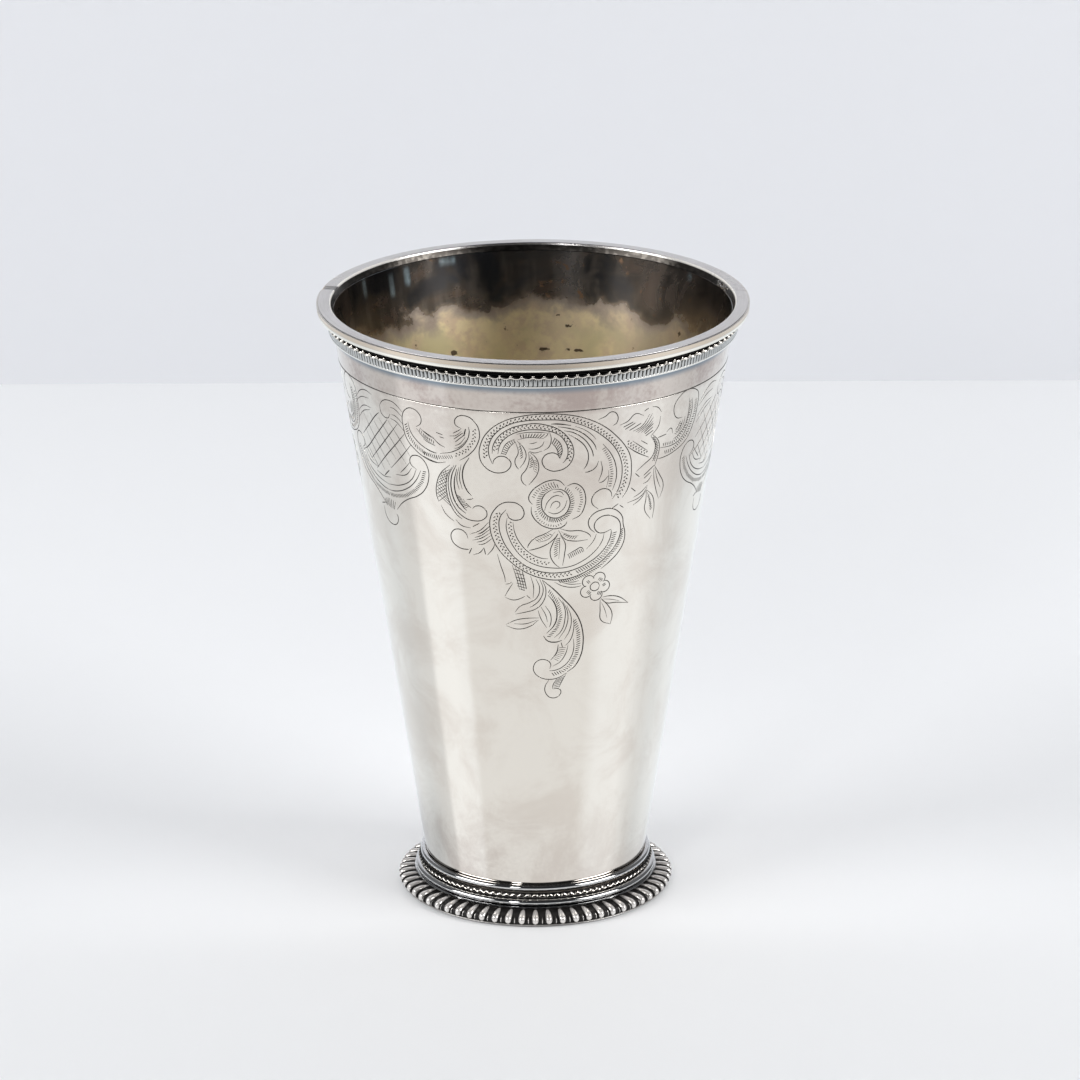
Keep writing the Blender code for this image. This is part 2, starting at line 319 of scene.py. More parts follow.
# %% Old silver
wear = bpy.data.node_groups.new("silver_wear", "ShaderNodeTree")
for name in ("Clean", "Tarnished", "Oxide"):
    wear.interface.new_socket(name, in_out="INPUT", socket_type="NodeSocketColor")
for name in ("Tarnish", "Polish", "Ragged"):
    wear.interface.new_socket(name, in_out="INPUT", socket_type="NodeSocketFloat")
wear.interface.new_socket("Colour", in_out="OUTPUT", socket_type="NodeSocketColor")
for name in ("Roughness", "Height", "Blotch"):
    wear.interface.new_socket(name, in_out="OUTPUT", socket_type="NodeSocketFloat")

given = add_node(wear, "NodeGroupInput").outputs
place = object_place(wear)
cloud = noise(wear, place, 62.0, 6.0, Roughness=0.64, Distortion=0.5)
cloud = map_range(wear, cloud, 0.38, 0.66)
grit = noise(wear, place, 1500.0, 3.0)
hollow = add_node(wear, "ShaderNodeAttribute", attribute_name="hollow").outputs["Fac"]
blotch = times(wear, cloud, given["Tarnish"])
ragged = times(wear, map_range(wear, grit, 0.3, 0.7, -1.0, 1.0), given["Ragged"])
oxide = map_range(wear, calculate(wear, "ADD", hollow, ragged), 0.22, 0.78)
aged = mix_colours(wear, blotch, given["Clean"], given["Tarnished"])
aged = mix_colours(wear, oxide, aged, given["Oxide"])
worn = calculate(wear, "ADD", given["Polish"], times(wear, blotch, 0.1))
worn = calculate(wear, "ADD", worn, times(wear, oxide, 0.3))
add_node(wear, "NodeGroupOutput", {"Colour": aged, "Roughness": worn, "Height": grit, "Blotch": cloud})
print("nodes in the wear group:", len(wear.nodes))

WARM_SILVER = (0.865, 0.82, 0.75)
TARNISH = (0.73, 0.66, 0.59)
OXIDE = (0.03, 0.028, 0.027)
SCRATCH_DEPTH = 0.02


def silver_material(
    name, clean=WARM_SILVER, tarnished=TARNISH, oxide=OXIDE,
    tarnish=0.6, polish=0.12, scratch=0.06, ragged=0.12,
):
    """Metal that takes its colour and roughness from the shared wear group, with a trace of scratching."""
    material, tree, shader = new_material(name)
    group = add_node(tree, "ShaderNodeGroup", node_tree=wear, name="wear")
    for socket, colour in (("Clean", clean), ("Tarnished", tarnished), ("Oxide", oxide)):
        group.inputs[socket].default_value = (*colour, 1.0)
    for socket, value in (("Tarnish", tarnish), ("Polish", polish), ("Ragged", ragged)):
        group.inputs[socket].default_value = value
    tree.links.new(group.outputs["Colour"], shader.inputs["Base Color"])
    tree.links.new(group.outputs["Roughness"], shader.inputs["Roughness"])
    bump = add_node(tree, "ShaderNodeBump", {"Height": group.outputs["Height"]})
    bump.inputs["Strength"].default_value = scratch
    bump.inputs["Distance"].default_value = SCRATCH_DEPTH * MM
    tree.links.new(bump.outputs["Normal"], shader.inputs["Normal"])
    shader.inputs["Metallic"].default_value = 1.0
    return material


def nodes_of(silver):
    """The node tree of a silver, its shader and what the wear group gives."""
    tree = silver.node_tree
    return tree, tree.nodes["Principled BSDF"], tree.nodes["wear"].outputs


def around(tree):
    """Nodes that give a point's angle in degrees, from the camera's side to the right, and its height."""
    axes = add_node(tree, "ShaderNodeSeparateXYZ", {"Vector": object_place(tree)}).outputs
    turn = calculate(tree, "ARCTAN2", axes["X"], times(tree, axes["Y"], -1.0))
    return calculate(tree, "DEGREES", turn), axes["Z"]


def window(tree, value, low, high, soft):
    """1 between two values and 0 outside them, with soft edges."""
    rise = map_range(tree, value, low - soft, low + soft)
    return times(tree, rise, map_range(tree, value, high - soft, high + soft, 1.0, 0.0))


# %% [markdown]
# ## Turning
# Most pieces of the beaker are turned: a closed outline of radius and height, in millimetres, is spun
# once round the axis. Where a pattern repeats, one sector is spun and shaped, and then copied round. A
# helper smooths the mesh, gives it its finish and says which CAD node it stands for.


# %% Turning
def spun(outline, steps, repeats=1):
    """The outline spun round the axis, or only through one of a number of equal sectors."""
    shape = bmesh.new()
    shape.verts.layers.float.new("hollow")
    points = [shape.verts.new((radius * MM, 0, height * MM)) for radius, height in outline]
    for first, second in zip(points, points[1:] + points[:1]):
        shape.edges.new((first, second))
    drawn = shape.verts[:] + shape.edges[:]
    sweep = {"cent": (0, 0, 0), "axis": (0, 0, 1), "angle": math.tau / repeats, "steps": steps}
    bmesh.ops.spin(shape, geom=drawn, use_merge=repeats == 1, **sweep)
    close_up(shape)
    return shape


def close_up(shape):
    bmesh.ops.remove_doubles(shape, verts=shape.verts[:], dist=0.0005 * MM)
    bmesh.ops.recalc_face_normals(shape, faces=shape.faces[:])


def copy_round(shape, repeats):
    """Copies what the shape holds round the axis, so that it is there that many times in all."""
    sector = shape.verts[:] + shape.edges[:] + shape.faces[:]
    for number in range(1, repeats):
        copied = bmesh.ops.duplicate(shape, geom=sector)["geom"]
        points = [item for item in copied if isinstance(item, bmesh.types.BMVert)]
        turn = Matrix.Rotation(math.tau * number / repeats, 3, "Z")
        bmesh.ops.rotate(shape, verts=points, cent=(0, 0, 0), matrix=turn)
    close_up(shape)


def place_of(vertex):
    """Angle from the camera's side to the right in radians, then radius and height in millimetres."""
    angle = math.atan2(vertex.co.x, -vertex.co.y)
    return angle, vertex.co.xy.length / MM, vertex.co.z / MM


def put(vertex, angle, radius, height):
    vertex.co = Vector((radius * math.sin(angle), -radius * math.cos(angle), height)) * MM


def finish_piece(name, shape, material, nodes=(), sharp=40):
    mesh = bpy.data.meshes.new(name)
    shape.to_mesh(mesh)
    shape.free()
    mesh.materials.append(material)
    mesh.shade_smooth()
    mesh.set_sharp_from_angle(angle=math.radians(sharp))
    piece = bpy.data.objects.new(name, mesh)
    bpy.context.scene.collection.objects.link(piece)
    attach(piece, "root")
    if nodes:
        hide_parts(*nodes)
    mesh.calc_loop_triangles()
    print(name, "triangles:", len(mesh.loop_triangles))
    return piece


def arc(radius, height, reach, rise, start, end, points):
    """Points on an ellipse about (radius, height), from one angle to another in degrees."""
    angles = [math.radians(start + (end - start) * index / (points - 1)) for index in range(points)]
    return [(radius + reach * math.cos(angle), height + rise * math.sin(angle)) for angle in angles]


# %% [markdown]
# ## Cup wall
# The cup is a seamed cone of sheet silver, hammered true and polished. Its side is very slightly hollow,
# and the hammer has left it a few hundredths of a millimetre out of round, which makes the reflections
# wander. Outside, a pinkish tarnish gathers above the border line and at the foot. The inside was gilded.
# The gilding is now dull, and hidden near the lip by a black bloom. Light is painted into it in places: a
# painted highlight on the far gilding, painted shade over the gilding on the right, and in the bloom a
# painted reflection streak and a few blue painted reflections of a window.

# %% Cup wall shape
WALL_LIFT = 2.6
WALL_TOP = 128.4
WALL_FOOT_RADIUS = 22.8
WALL_MOUTH_RADIUS = 42.45
WALL_HOLLOW = 0.18
WALL_THICKNESS = 0.8
WALL_RINGS = 40
WALL_STEPS = 240
EDGE_DROP = 0.1
EDGE_ROUND = 0.15
HAMMER_WAVE = 0.022
SEAT = 0.3


def wall_outside(height):
    share = (height - WALL_LIFT) / (WALL_TOP - WALL_LIFT)
    straight = WALL_FOOT_RADIUS + (WALL_MOUTH_RADIUS - WALL_FOOT_RADIUS) * share
    return straight - WALL_HOLLOW * 4 * share * (1 - share)


def wall_inside(height):
    return wall_outside(height) - WALL_THICKNESS


def hammer_wave(angle, height):
    """How far the wall stands out or in from a true cone."""
    slow = math.sin(3 * angle + height * 0.05) + math.sin(5 * angle - height * 0.031 + 1.3)
    quick = math.sin(9 * angle + height * 0.12 + 0.4) * math.sin(height * 0.16 + 4 * angle)
    return HAMMER_WAVE * (0.9 * slow + 0.7 * quick)


def levels(first, last, count):
    return [first + (last - first) * index / (count - 1) for index in range(count)]


rim = WALL_TOP - EDGE_DROP
outer_side = [(wall_outside(height), height) for height in levels(WALL_LIFT, rim, WALL_RINGS)]
inner_side = [(wall_inside(height), height) for height in levels(rim, WALL_LIFT, WALL_RINGS)]
edge = [(wall_outside(WALL_TOP) - EDGE_ROUND, WALL_TOP), (wall_inside(WALL_TOP) + EDGE_ROUND, WALL_TOP)]
cup = spun(outer_side + edge + inner_side, WALL_STEPS)
for vertex in cup.verts:
    angle, radius, height = place_of(vertex)
    put(vertex, angle, radius + hammer_wave(angle, height), height)
for face in cup.faces:
    middle = face.calc_center_median()
    half_way = (wall_outside(middle.z / MM) + wall_inside(middle.z / MM)) / 2
    face.material_index = int(middle.xy.length / MM < half_way or middle.z > rim * MM)
print("wall faces inside:", sum(face.material_index for face in cup.faces))

# %% Outside of the wall
PINK_TARNISH = (0.53, 0.465, 0.43)
BAND_TARNISH = (0.47, 0.395, 0.365)
BLUE_BAND = (0.20, 0.25, 0.30)
wall_silver = silver_material("wall_silver", tarnish=0.65, polish=0.075)
tree, shader, worn = nodes_of(wall_silver)
angle, height = around(tree)
patchy = map_range(tree, worn["Blotch"], 0.0, 1.0, 0.42, 1.0)
patchy = calculate(tree, "ADD", patchy, times(tree, window(tree, angle, 8, 36, 7), 0.3))
speckle = noise(tree, object_place(tree), 1100.0)
patchy = calculate(tree, "ADD", patchy, map_range(tree, speckle, 0.3, 0.7, -0.16, 0.16))
upper_third = map_range(tree, height, 0.084, 0.117, 0.0, 0.42)
left_side = map_range(tree, angle, -30, 10, 1.0, 0.45)
at_foot = times(tree, map_range(tree, height, 0.008, 0.03, 0.5, 0.0), left_side)
stained = times(tree, calculate(tree, "MAXIMUM", upper_third, at_foot), patchy)
tone = mix_colours(tree, stained, worn["Colour"], PINK_TARNISH)
uneven = map_range(tree, patchy, 0.4, 1.2, 0.5, 1.0)
above_line = times(tree, map_range(tree, height, 0.1168, 0.1192), uneven)
tone = mix_colours(tree, above_line, tone, BAND_TARNISH)
# A dark bluish band just under the reeded strip.
under_reeds = map_range(tree, height, 0.1219, 0.1236, 0.0, 0.95)
tone = mix_colours(tree, under_reeds, tone, BLUE_BAND)
tree.links.new(tone, shader.inputs["Base Color"])
print("nodes in", wall_silver.name, len(tree.nodes))

# %% Inside of the wall
GILT = (0.79, 0.69, 0.47)
GILT_PAINTED_HIGHLIGHT = (0.98, 0.86, 0.58)
GILT_WORN = (0.66, 0.54, 0.41)
OLIVE = (0.58, 0.545, 0.36)
GREY_VEIL_AND_SHADE = (0.40, 0.345, 0.30)
BLOOM = (0.11, 0.10, 0.09)
BLOOM_THIN = (0.20, 0.185, 0.17)
BLOOM_HAZE = (0.23, 0.20, 0.18)
BLOOM_DEEP = (0.06, 0.055, 0.05)
PAINTED_WINDOW_STREAK = (0.36, 0.35, 0.35)
BLOOM_BROWN = (0.145, 0.105, 0.08)
BLOOM_BLUE = (0.105, 0.115, 0.13)
RUST = (0.30, 0.19, 0.12)
BLUE_WINDOW_REFLECTION = (0.58, 0.76, 0.86)
SPOT = (0.12, 0.095, 0.07)
BLOOM_EDGE = 0.1168
# Each cloud in the bloom is its first and last angle in degrees, its softness, its share and its colour.
# The pale one is a painted reflection streak of the window.
CLOUDS = ((100, 138, 14, 0.7, BLOOM_HAZE), (148, 158, 6, 0.6, BLOOM_DEEP), (166, 171, 4, 0.6, PAINTED_WINDOW_STREAK))
# Each painted blue reflection is its angle in degrees, its half width, and its lowest and highest point in
# metres.
BLUE_REFLECTIONS = (
    (-139.0, 1.0, 0.1240, 0.1276), (-120.0, 0.9, 0.1245, 0.1280), (-132.6, 0.9, 0.1225, 0.1270),
    (-153.5, 2.6, 0.1268, 0.1279), (126.6, 0.9, 0.1268, 0.1282),
)

gilt_bloom, tree, shader = new_material("gilt_bloom")
place = object_place(tree)
angle, height = around(tree)
ragged = noise(tree, place, 110.0, 6.0, Roughness=0.56, Distortion=0.25)
upright = add_node(tree, "ShaderNodeMapping", {"Vector": place, "Scale": (380.0, 380.0, 45.0)}).outputs[0]
streaks = noise(tree, upright, 1.0, 4.0)
spots = noise(tree, place, 380.0, 4.0, Roughness=0.6)
patches = noise(tree, place, 75.0, 5.0, Roughness=0.66, Distortion=0.8)
wander = calculate(tree, "ADD", height, map_range(tree, ragged, 0.25, 0.75, -0.0028, 0.0028))
veil = map_range(tree, wander, BLOOM_EDGE - 0.0036, BLOOM_EDGE - 0.0004)
bloom = map_range(tree, wander, BLOOM_EDGE - 0.001, BLOOM_EDGE + 0.0024)

tone = mix_colours(tree, map_range(tree, spots, 0.36, 0.62), GILT, GILT_WORN)
tone = mix_colours(tree, map_range(tree, ragged, 0.42, 0.66, 0.0, 0.9), tone, OLIVE)
# Painted highlight: the far side of the gilding is painted brighter.
painted_sheen = window(tree, calculate(tree, "ABSOLUTE", angle), 162, 174, 5)
tone = mix_colours(tree, times(tree, painted_sheen, 0.4), tone, GILT_PAINTED_HIGHLIGHT)
# Painted shade: the gilding on the right is painted darker and greyer.
painted_shade_right = window(tree, angle, 128, 153, 8)
tone = mix_colours(tree, times(tree, painted_shade_right, 0.55), tone, GREY_VEIL_AND_SHADE)
tide_mark = times(tree, window(tree, height, 0.1069, 0.1075, 0.0002), window(tree, angle, 160, 179, 2))
leaf_place = window(tree, angle, -155, -152.6, 0.7)
leaf_spot = times(tree, window(tree, height, 0.1069, 0.1082, 0.0004), leaf_place)
pitted = calculate(tree, "ADD", spots, times(tree, tide_mark, 0.17))
pitted = calculate(tree, "ADD", pitted, times(tree, leaf_spot, 0.3))
tone = mix_colours(tree, map_range(tree, pitted, 0.66, 0.72), tone, SPOT)
tone = mix_colours(tree, veil, tone, GREY_VEIL_AND_SHADE)

dark = mix_colours(tree, map_range(tree, streaks, 0.42, 0.7), BLOOM, BLOOM_THIN)
dark = mix_colours(tree, map_range(tree, patches, 0.48, 0.64, 0.0, 0.7), dark, BLOOM_BROWN)
dark = mix_colours(tree, map_range(tree, patches, 0.5, 0.38, 0.0, 0.8), dark, BLOOM_BLUE)
for low, high, soft, share, colour in CLOUDS:
    dark = mix_colours(tree, times(tree, window(tree, angle, low, high, soft), share), dark, colour)
rusty = times(tree, map_range(tree, spots, 0.6, 0.7), map_range(tree, patches, 0.46, 0.58))
dark = mix_colours(tree, rusty, dark, RUST)
# Painted reflections: a few bright blue patches in the bloom stand for a mirrored window.
for turn, half_width, low, high in BLUE_REFLECTIONS:
    patch = window(tree, angle, turn - half_width, turn + half_width, 0.6)
    patch = times(tree, patch, window(tree, height, low, high, 0.0009))
    patch = times(tree, patch, map_range(tree, streaks, 0.35, 0.6, 0.5, 1.0))
    dark = mix_colours(tree, patch, dark, BLUE_WINDOW_REFLECTION)
tree.links.new(mix_colours(tree, bloom, tone, dark), shader.inputs["Base Color"])
polish = map_range(tree, patches, 0.35, 0.65, 0.17, 0.3)
polish = calculate(tree, "MAXIMUM", map_range(tree, bloom, 0.0, 1.0, 0.36, 0.1), polish)
tree.links.new(polish, shader.inputs["Roughness"])
shader.inputs["Metallic"].default_value = 1.0

cup_wall = finish_piece("cup_wall", cup, wall_silver, ["body_wall"])
cup_wall.data.materials.append(gilt_bloom)

# %% [markdown]
# ## Base disc
# The bottom of the cup is a disc let into the cone and soldered, a little domed by the hammer.

# %% Base disc
DISC_BOTTOM = 3.5
DISC_TOP = 4.5
DISC_DOME = 0.25
disc_edge = wall_inside(DISC_BOTTOM) - SEAT
dome = [(disc_edge * share, DISC_TOP - DISC_DOME * share**2) for share in levels(0.0, 1.0, 10)]
disc = spun(dome + [(disc_edge - 0.1, DISC_BOTTOM), (0.0, DISC_BOTTOM + 0.2)], 96)
finish_piece("cup_base", disc, gilt_bloom, ["base_disc"])

# %% [markdown]
# ## Lip
# The lip is a drawn moulding: a rounded inner edge, a flat top, a fine step, a brushed face and a rounded
# lower edge. It was bent to a ring and soldered. The butt joint on the left is a dark notch across the
# top, and a crumb of solder is left on the inner edge at the right. Along the front and sides that edge is
# pale and barely metallic, and below it the fillet that covers the wall's edge is black.

# %% Lip
LIP_BORE = 42.3
FILLET_END = 41.7
LIP_TOP = 129.98
LIP_RADIUS = 45.3
LIP_FLAT_END = 44.7
LIP_EDGE_HEIGHT = 128.6
LIP_UNDERSIDE = 128.04
STEP_SHADE = 0.34
lip_outline = [(FILLET_END, 128.45), (LIP_BORE - 0.05, 129.5), (LIP_BORE, 129.58)]
lip_outline += arc(LIP_BORE + 0.36, LIP_TOP - 0.36, 0.36, 0.36, 175, 90, 7)
lip_outline += [(43.7, LIP_TOP), (LIP_FLAT_END, LIP_TOP - 0.03), (44.93, 129.9), (44.98, 129.81)]
lip_outline += [(45.04, 129.78), (45.09, 129.81), (45.24, 129.81), (45.29, 129.76), (45.2, 128.75)]
lip_outline += arc(44.89, LIP_EDGE_HEIGHT, 0.3, 0.52, 0, -85, 7)
lip_outline += [(44.6, 128.02), (43.45, 127.98), (43.45, 127.3), (42.76, 127.3), (42.76, 128.72)]
lip = spun(lip_outline, 300)
hollow_layer = lip.verts.layers.float["hollow"]
for vertex in lip.verts:
    angle, radius, height = place_of(vertex)
    in_step = 44.97 < radius < 45.05 and height > 129.6
    vertex[hollow_layer] = max(STEP_SHADE * in_step, float(height < LIP_UNDERSIDE))
print("lip rings:", len(lip_outline))

# %% Solder joint and crumb
JOINT_ANGLE = math.radians(-102)
JOINT_HALF_WIDTH = math.radians(2.3)
JOINT_DEPTH = 0.12
CRUMB_ANGLE = 107.5
CRUMB_RING = 41.75
CRUMB_COUNT = 26


def near_joint(face):
    """True on the joint's side of the ring, so that a cut doesn't cross the far side too."""
    middle = face.calc_center_median()
    return abs(math.atan2(middle.x, -middle.y) - JOINT_ANGLE) < 0.1


for share in (-1.0, -0.6, 0.0, 0.6, 1.0):
    angle = JOINT_ANGLE + share * JOINT_HALF_WIDTH
    close = [face for face in lip.faces if near_joint(face)]
    sides = dict.fromkeys(edge for face in close for edge in face.edges)
    corners = dict.fromkeys(vertex for face in close for vertex in face.verts)
    side = Vector((math.cos(angle), math.sin(angle), 0))
    crossed = [*corners, *sides, *close]
    bmesh.ops.bisect_plane(lip, geom=crossed, dist=1e-7, plane_co=(0, 0, 0), plane_no=side)
for vertex in lip.verts:
    angle, radius, height = place_of(vertex)
    aside = abs(angle - JOINT_ANGLE) / JOINT_HALF_WIDTH
    if aside < 0.8 and height > 128.3 and radius > LIP_BORE - 0.05:
        sunk = JOINT_DEPTH * (radius > LIP_BORE + 0.1)
        put(vertex, angle, min(radius, LIP_RADIUS - JOINT_DEPTH), height - sunk)
        vertex[hollow_layer] = 0.56 if aside > 0.3 else 0.46
for number in range(CRUMB_COUNT):
    angle = math.radians(CRUMB_ANGLE + 3.4 * math.sin(2.4 * number))
    size = 0.34 + 0.1 * math.sin(5.1 * number)
    height = 128.95 + 0.42 * math.cos(3.7 * number)
    ring = CRUMB_RING + 0.5 * (height - 128.45)
    centre = Vector((ring * math.sin(angle), -ring * math.cos(angle), height)) * MM
    stand = Matrix.Translation(centre)
    crumb = bmesh.ops.create_icosphere(lip, subdivisions=1, radius=size * MM, matrix=stand)["verts"]
    for vertex in crumb:
        vertex[hollow_layer] = 0.25 + 0.14 * (number % 3)
print("crumbs of solder:", CRUMB_COUNT)

# %% Lip finish
LIP_DULL = (0.50, 0.48, 0.48)
LIP_FACE = (0.75, 0.63, 0.50)
LIP_LOWER_EDGE = (0.95, 0.92, 0.84)
LIP_SOOT = (0.05, 0.045, 0.04)
PALE_EDGE = (0.93, 0.90, 0.84)
PALE_METALLIC = 0.2
lip_silver = silver_material(
    "lip_silver", clean=(0.68, 0.66, 0.65), tarnished=(0.60, 0.57, 0.545),
    tarnish=0.55, polish=0.22, scratch=0.012, ragged=0.03,
)
tree, shader, worn = nodes_of(lip_silver)
angle, height = around(tree)
place = object_place(tree)
flat = {0: place, 1: (1.0, 1.0, 0.0)}
flat = add_node(tree, "ShaderNodeVectorMath", flat, operation="MULTIPLY").outputs[0]
radius = add_node(tree, "ShaderNodeVectorMath", {0: flat}, operation="LENGTH").outputs["Value"]
drawn = {"X": angle, "Y": times(tree, radius, 6e4), "Z": times(tree, height, 9e4)}
drawn = add_node(tree, "ShaderNodeCombineXYZ", drawn).outputs[0]
brushed = noise(tree, drawn, 0.12, 3.0)
outside = map_range(tree, radius, 0.0436, 0.0442)
face_of_lip = times(tree, outside, window(tree, height, 0.12883, 0.12976, 0.0001))
edge_of_lip = times(tree, outside, window(tree, height, 0.12808, 0.12876, 0.0001))
top_of_lip = map_range(tree, height, 0.12985, 0.12993, 0.0, 0.55)
rubbed_and_lit = times(tree, face_of_lip, map_range(tree, brushed, 0.3, 0.7, 0.55, 1.0))
dulled = times(tree, top_of_lip, map_range(tree, brushed, 0.4, 0.65))
tone = mix_colours(tree, dulled, worn["Colour"], LIP_DULL)
tone = mix_colours(tree, rubbed_and_lit, tone, LIP_FACE)
tone = mix_colours(tree, edge_of_lip, tone, LIP_LOWER_EDGE)
crusted = map_range(tree, noise(tree, place, 900.0), 0.45, 0.6)
bore = mix_colours(tree, crusted, LIP_SOOT, BLOOM)
hollow = add_node(tree, "ShaderNodeAttribute", attribute_name="hollow").outputs["Fac"]
plain = map_range(tree, hollow, 0.01, 0.06, 1.0, 0.0)
in_bore = times(tree, plain, map_range(tree, radius, 0.04222, 0.0423, 1.0, 0.0))
tone = mix_colours(tree, in_bore, tone, bore)
pale_inner_edge = times(tree, plain, window(tree, radius, 0.04228, 0.04256, 0.00006))
aside = map_range(tree, calculate(tree, "ABSOLUTE", angle), 125, 150, 1.0, 0.0)
pale_inner_edge = times(tree, pale_inner_edge, aside)
tone = mix_colours(tree, pale_inner_edge, tone, PALE_EDGE)
tree.links.new(map_range(tree, pale_inner_edge, 0.0, 1.0, 1.0, PALE_METALLIC), shader.inputs["Metallic"])
tree.links.new(tone, shader.inputs["Base Color"])
finish_piece("lip_moulding", lip, lip_silver, ["lip_ring"], sharp=35)

# %% [markdown]
# ## Bead row
# Beaded wire is pressed between two dies, so each bead is a plump oval on a thin core, with a point left
# between it and the next. The upper part of each bead is painted black as painted shade, standing for the
# dark room it mirrors under the lip, and only the lower edges and the points stay bright. Towards the
# sides less of each bead is painted dark.

# %% Bead row
BEAD_COUNT = 120
BEAD_MIDDLE = 126.33
BEAD_REACH = 0.5
CORE_DEPTH = 0.48
PAINTED_SHADE_SHARE = 0.26
SHADE_FADE_START = 0.4
SHADE_FADE_END = 1.0
SHADE_FADE_GAIN = 0.55


def bead_place(half_width, half_depth, half_height, lift, lean):
    """A matrix that stretches a ball, raises it and pushes its top outwards."""
    push = Matrix.Identity(4)
    push[1][2] = -lean
    size = Matrix.Diagonal((half_width, half_depth, half_height, 1))
    return Matrix.Translation((0, 0, lift * MM)) @ push @ size


BEAD = bead_place(half_width=1.1, half_depth=0.56, half_height=0.44, lift=0.0, lean=-0.5)
DART = bead_place(half_width=0.42, half_depth=0.45, half_height=0.6, lift=0.08, lean=0.25)
bead_ring = wall_outside(BEAD_MIDDLE) + SEAT + BEAD_REACH
core_back = bead_ring - CORE_DEPTH
beads = spun([(bead_ring, 126.0), (bead_ring, 126.9), (core_back, 126.95), (core_back, 125.95)], 192)
hollow_layer = beads.verts.layers.float["hollow"]
for vertex in beads.verts:
    vertex[hollow_layer] = 1.0
for number in range(BEAD_COUNT * 2):
    angle = math.remainder(math.pi * number / BEAD_COUNT, math.tau)
    turn = Matrix.Rotation(angle, 4, "Z")
    stand = turn @ Matrix.Translation(Vector((0, -bead_ring, BEAD_MIDDLE)) * MM)
    # Painted shade fades out towards the sides.
    clean = min(1.0, max(0.0, (abs(angle) - SHADE_FADE_START) / (SHADE_FADE_END - SHADE_FADE_START)))
    is_bead = number % 2
    stand = stand @ (BEAD if is_bead else DART)
    made = bmesh.ops.create_icosphere(beads, subdivisions=1 + is_bead, radius=MM, matrix=stand)["verts"]
    back = stand.inverted()
    for vertex in made:
        spot = (back @ vertex.co) / MM
        # Painted shade: the upper part of each bead is painted black, for the dark room it mirrors under
        # the lip.
        rubbed_and_lit = 0.5 * spot.x**2 - spot.z - PAINTED_SHADE_SHARE + SHADE_FADE_GAIN * clean
        vertex[hollow_layer] = min(1.0, max(0.0, 0.5 - 2.0 * rubbed_and_lit)) if is_bead else 0.0
bead_silver = silver_material("bead_silver", tarnish=0.2, polish=0.07, ragged=0.04)
finish_piece("bead_row", beads, bead_silver, ["bead_wire"], sharp=60)

# %% [markdown]
# ## Reeded strip
# Under the beads runs a rolled strip of upright reeds on a plain fillet. The reeds are broad and
# flattened, with a narrow black line between neighbours.

# %% Reeded strip
REED_COUNT = 288
REED_STEPS = 8
REED_BOTTOM = 124.0
REED_TOP = 126.0
FLUTE_FOOT = 124.47
FLUTE_DEPTH = 0.26
FILLET_SILVER = (0.88, 0.86, 0.82)


def across(angle, count):
    """Place within a repeat: 0 on its middle line and 1 where it meets the next."""
    share = (angle / math.tau * count) % 1.0
    return abs(2 * share - 1)


def reed_profile(height, out):
    return (wall_outside(height) + SEAT + out, height)


reed_outline = [reed_profile(height, out) for height, out in (
    (REED_TOP, 0.05), (REED_TOP, 0.66), (125.94, 0.75), (125.84, 0.78), (124.5, 0.78), (124.44, 0.76),
    (124.38, 0.79), (124.16, 0.78), (REED_BOTTOM, 0.7), (REED_BOTTOM, 0.05),
)]
reeds = spun(reed_outline, REED_STEPS, REED_COUNT)
hollow_layer = reeds.verts.layers.float["hollow"]
for vertex in reeds.verts:
    angle, radius, height = place_of(vertex)
    fluted = height > FLUTE_FOOT and radius > wall_outside(height) + 0.8
    depth = across(angle, REED_COUNT) ** 3 if fluted else 0.0
    put(vertex, angle, radius - FLUTE_DEPTH * depth, height)
    vertex[hollow_layer] = depth
copy_round(reeds, REED_COUNT)
reed_silver = silver_material(
    "reed_silver", clean=(0.58, 0.585, 0.575), tarnished=(0.45, 0.46, 0.46), polish=0.2
)
tree, shader, worn = nodes_of(reed_silver)
fillet = window(tree, around(tree)[1], 0.12405, 0.12443, 0.00004)
tree.links.new(mix_colours(tree, fillet, worn["Colour"], FILLET_SILVER), shader.inputs["Base Color"])
finish_piece("reed_strip", reeds, reed_silver, ["reeded_strip"])

# %% [markdown]
# ## Rings of the foot
# A half-round collar, a milled wire and a larger half-round torus cover the join of cup and foot. The
# plain rings are the best polished parts and mirror the dark room between the lights. The milled wire was
# knurled, which leaves one ridge that waves up and down over a black ground.

# %% Collar and torus
SOCKET_WALL = 0.6


def ring_outline(bore, bottom, top, reach):
    """A half round that stands out from a short flat behind it."""
    round_start = bore + 0.1
    round_reach = reach - 0.1
    middle = (bottom + top) / 2
    return [(bore, bottom), (bore, top)] + arc(round_start, middle, round_reach, top - middle, 90, -90, 24)


def socket_outside(height):
    return wall_outside(height) + SEAT + SOCKET_WALL


ring_silver = silver_material(
    "ring_silver", clean=(0.67, 0.67, 0.67), tarnished=(0.49, 0.485, 0.485),
    tarnish=0.5, polish=0.06, scratch=0.012,
)
collar_bore = wall_outside(7.0) + SEAT
collar = spun(ring_outline(collar_bore, 6.3, 7.7, 0.94), 192)
finish_piece("collar_ring", collar, ring_silver, ["collar_wire"])
torus_bore = socket_outside(4.25) + SEAT
torus_outline = ring_outline(torus_bore, 3.36, 4.95, 1.5)
torus_outline += [(torus_bore + 1.3, 3.33), (torus_bore + 1.62, 3.31), (torus_bore + 1.7, 3.22)]
torus_outline += [(torus_bore + 1.62, 3.12), (torus_bore, 3.12)]
torus = spun(torus_outline, 192)
finish_piece("torus_ring", torus, ring_silver, ["torus_wire"])

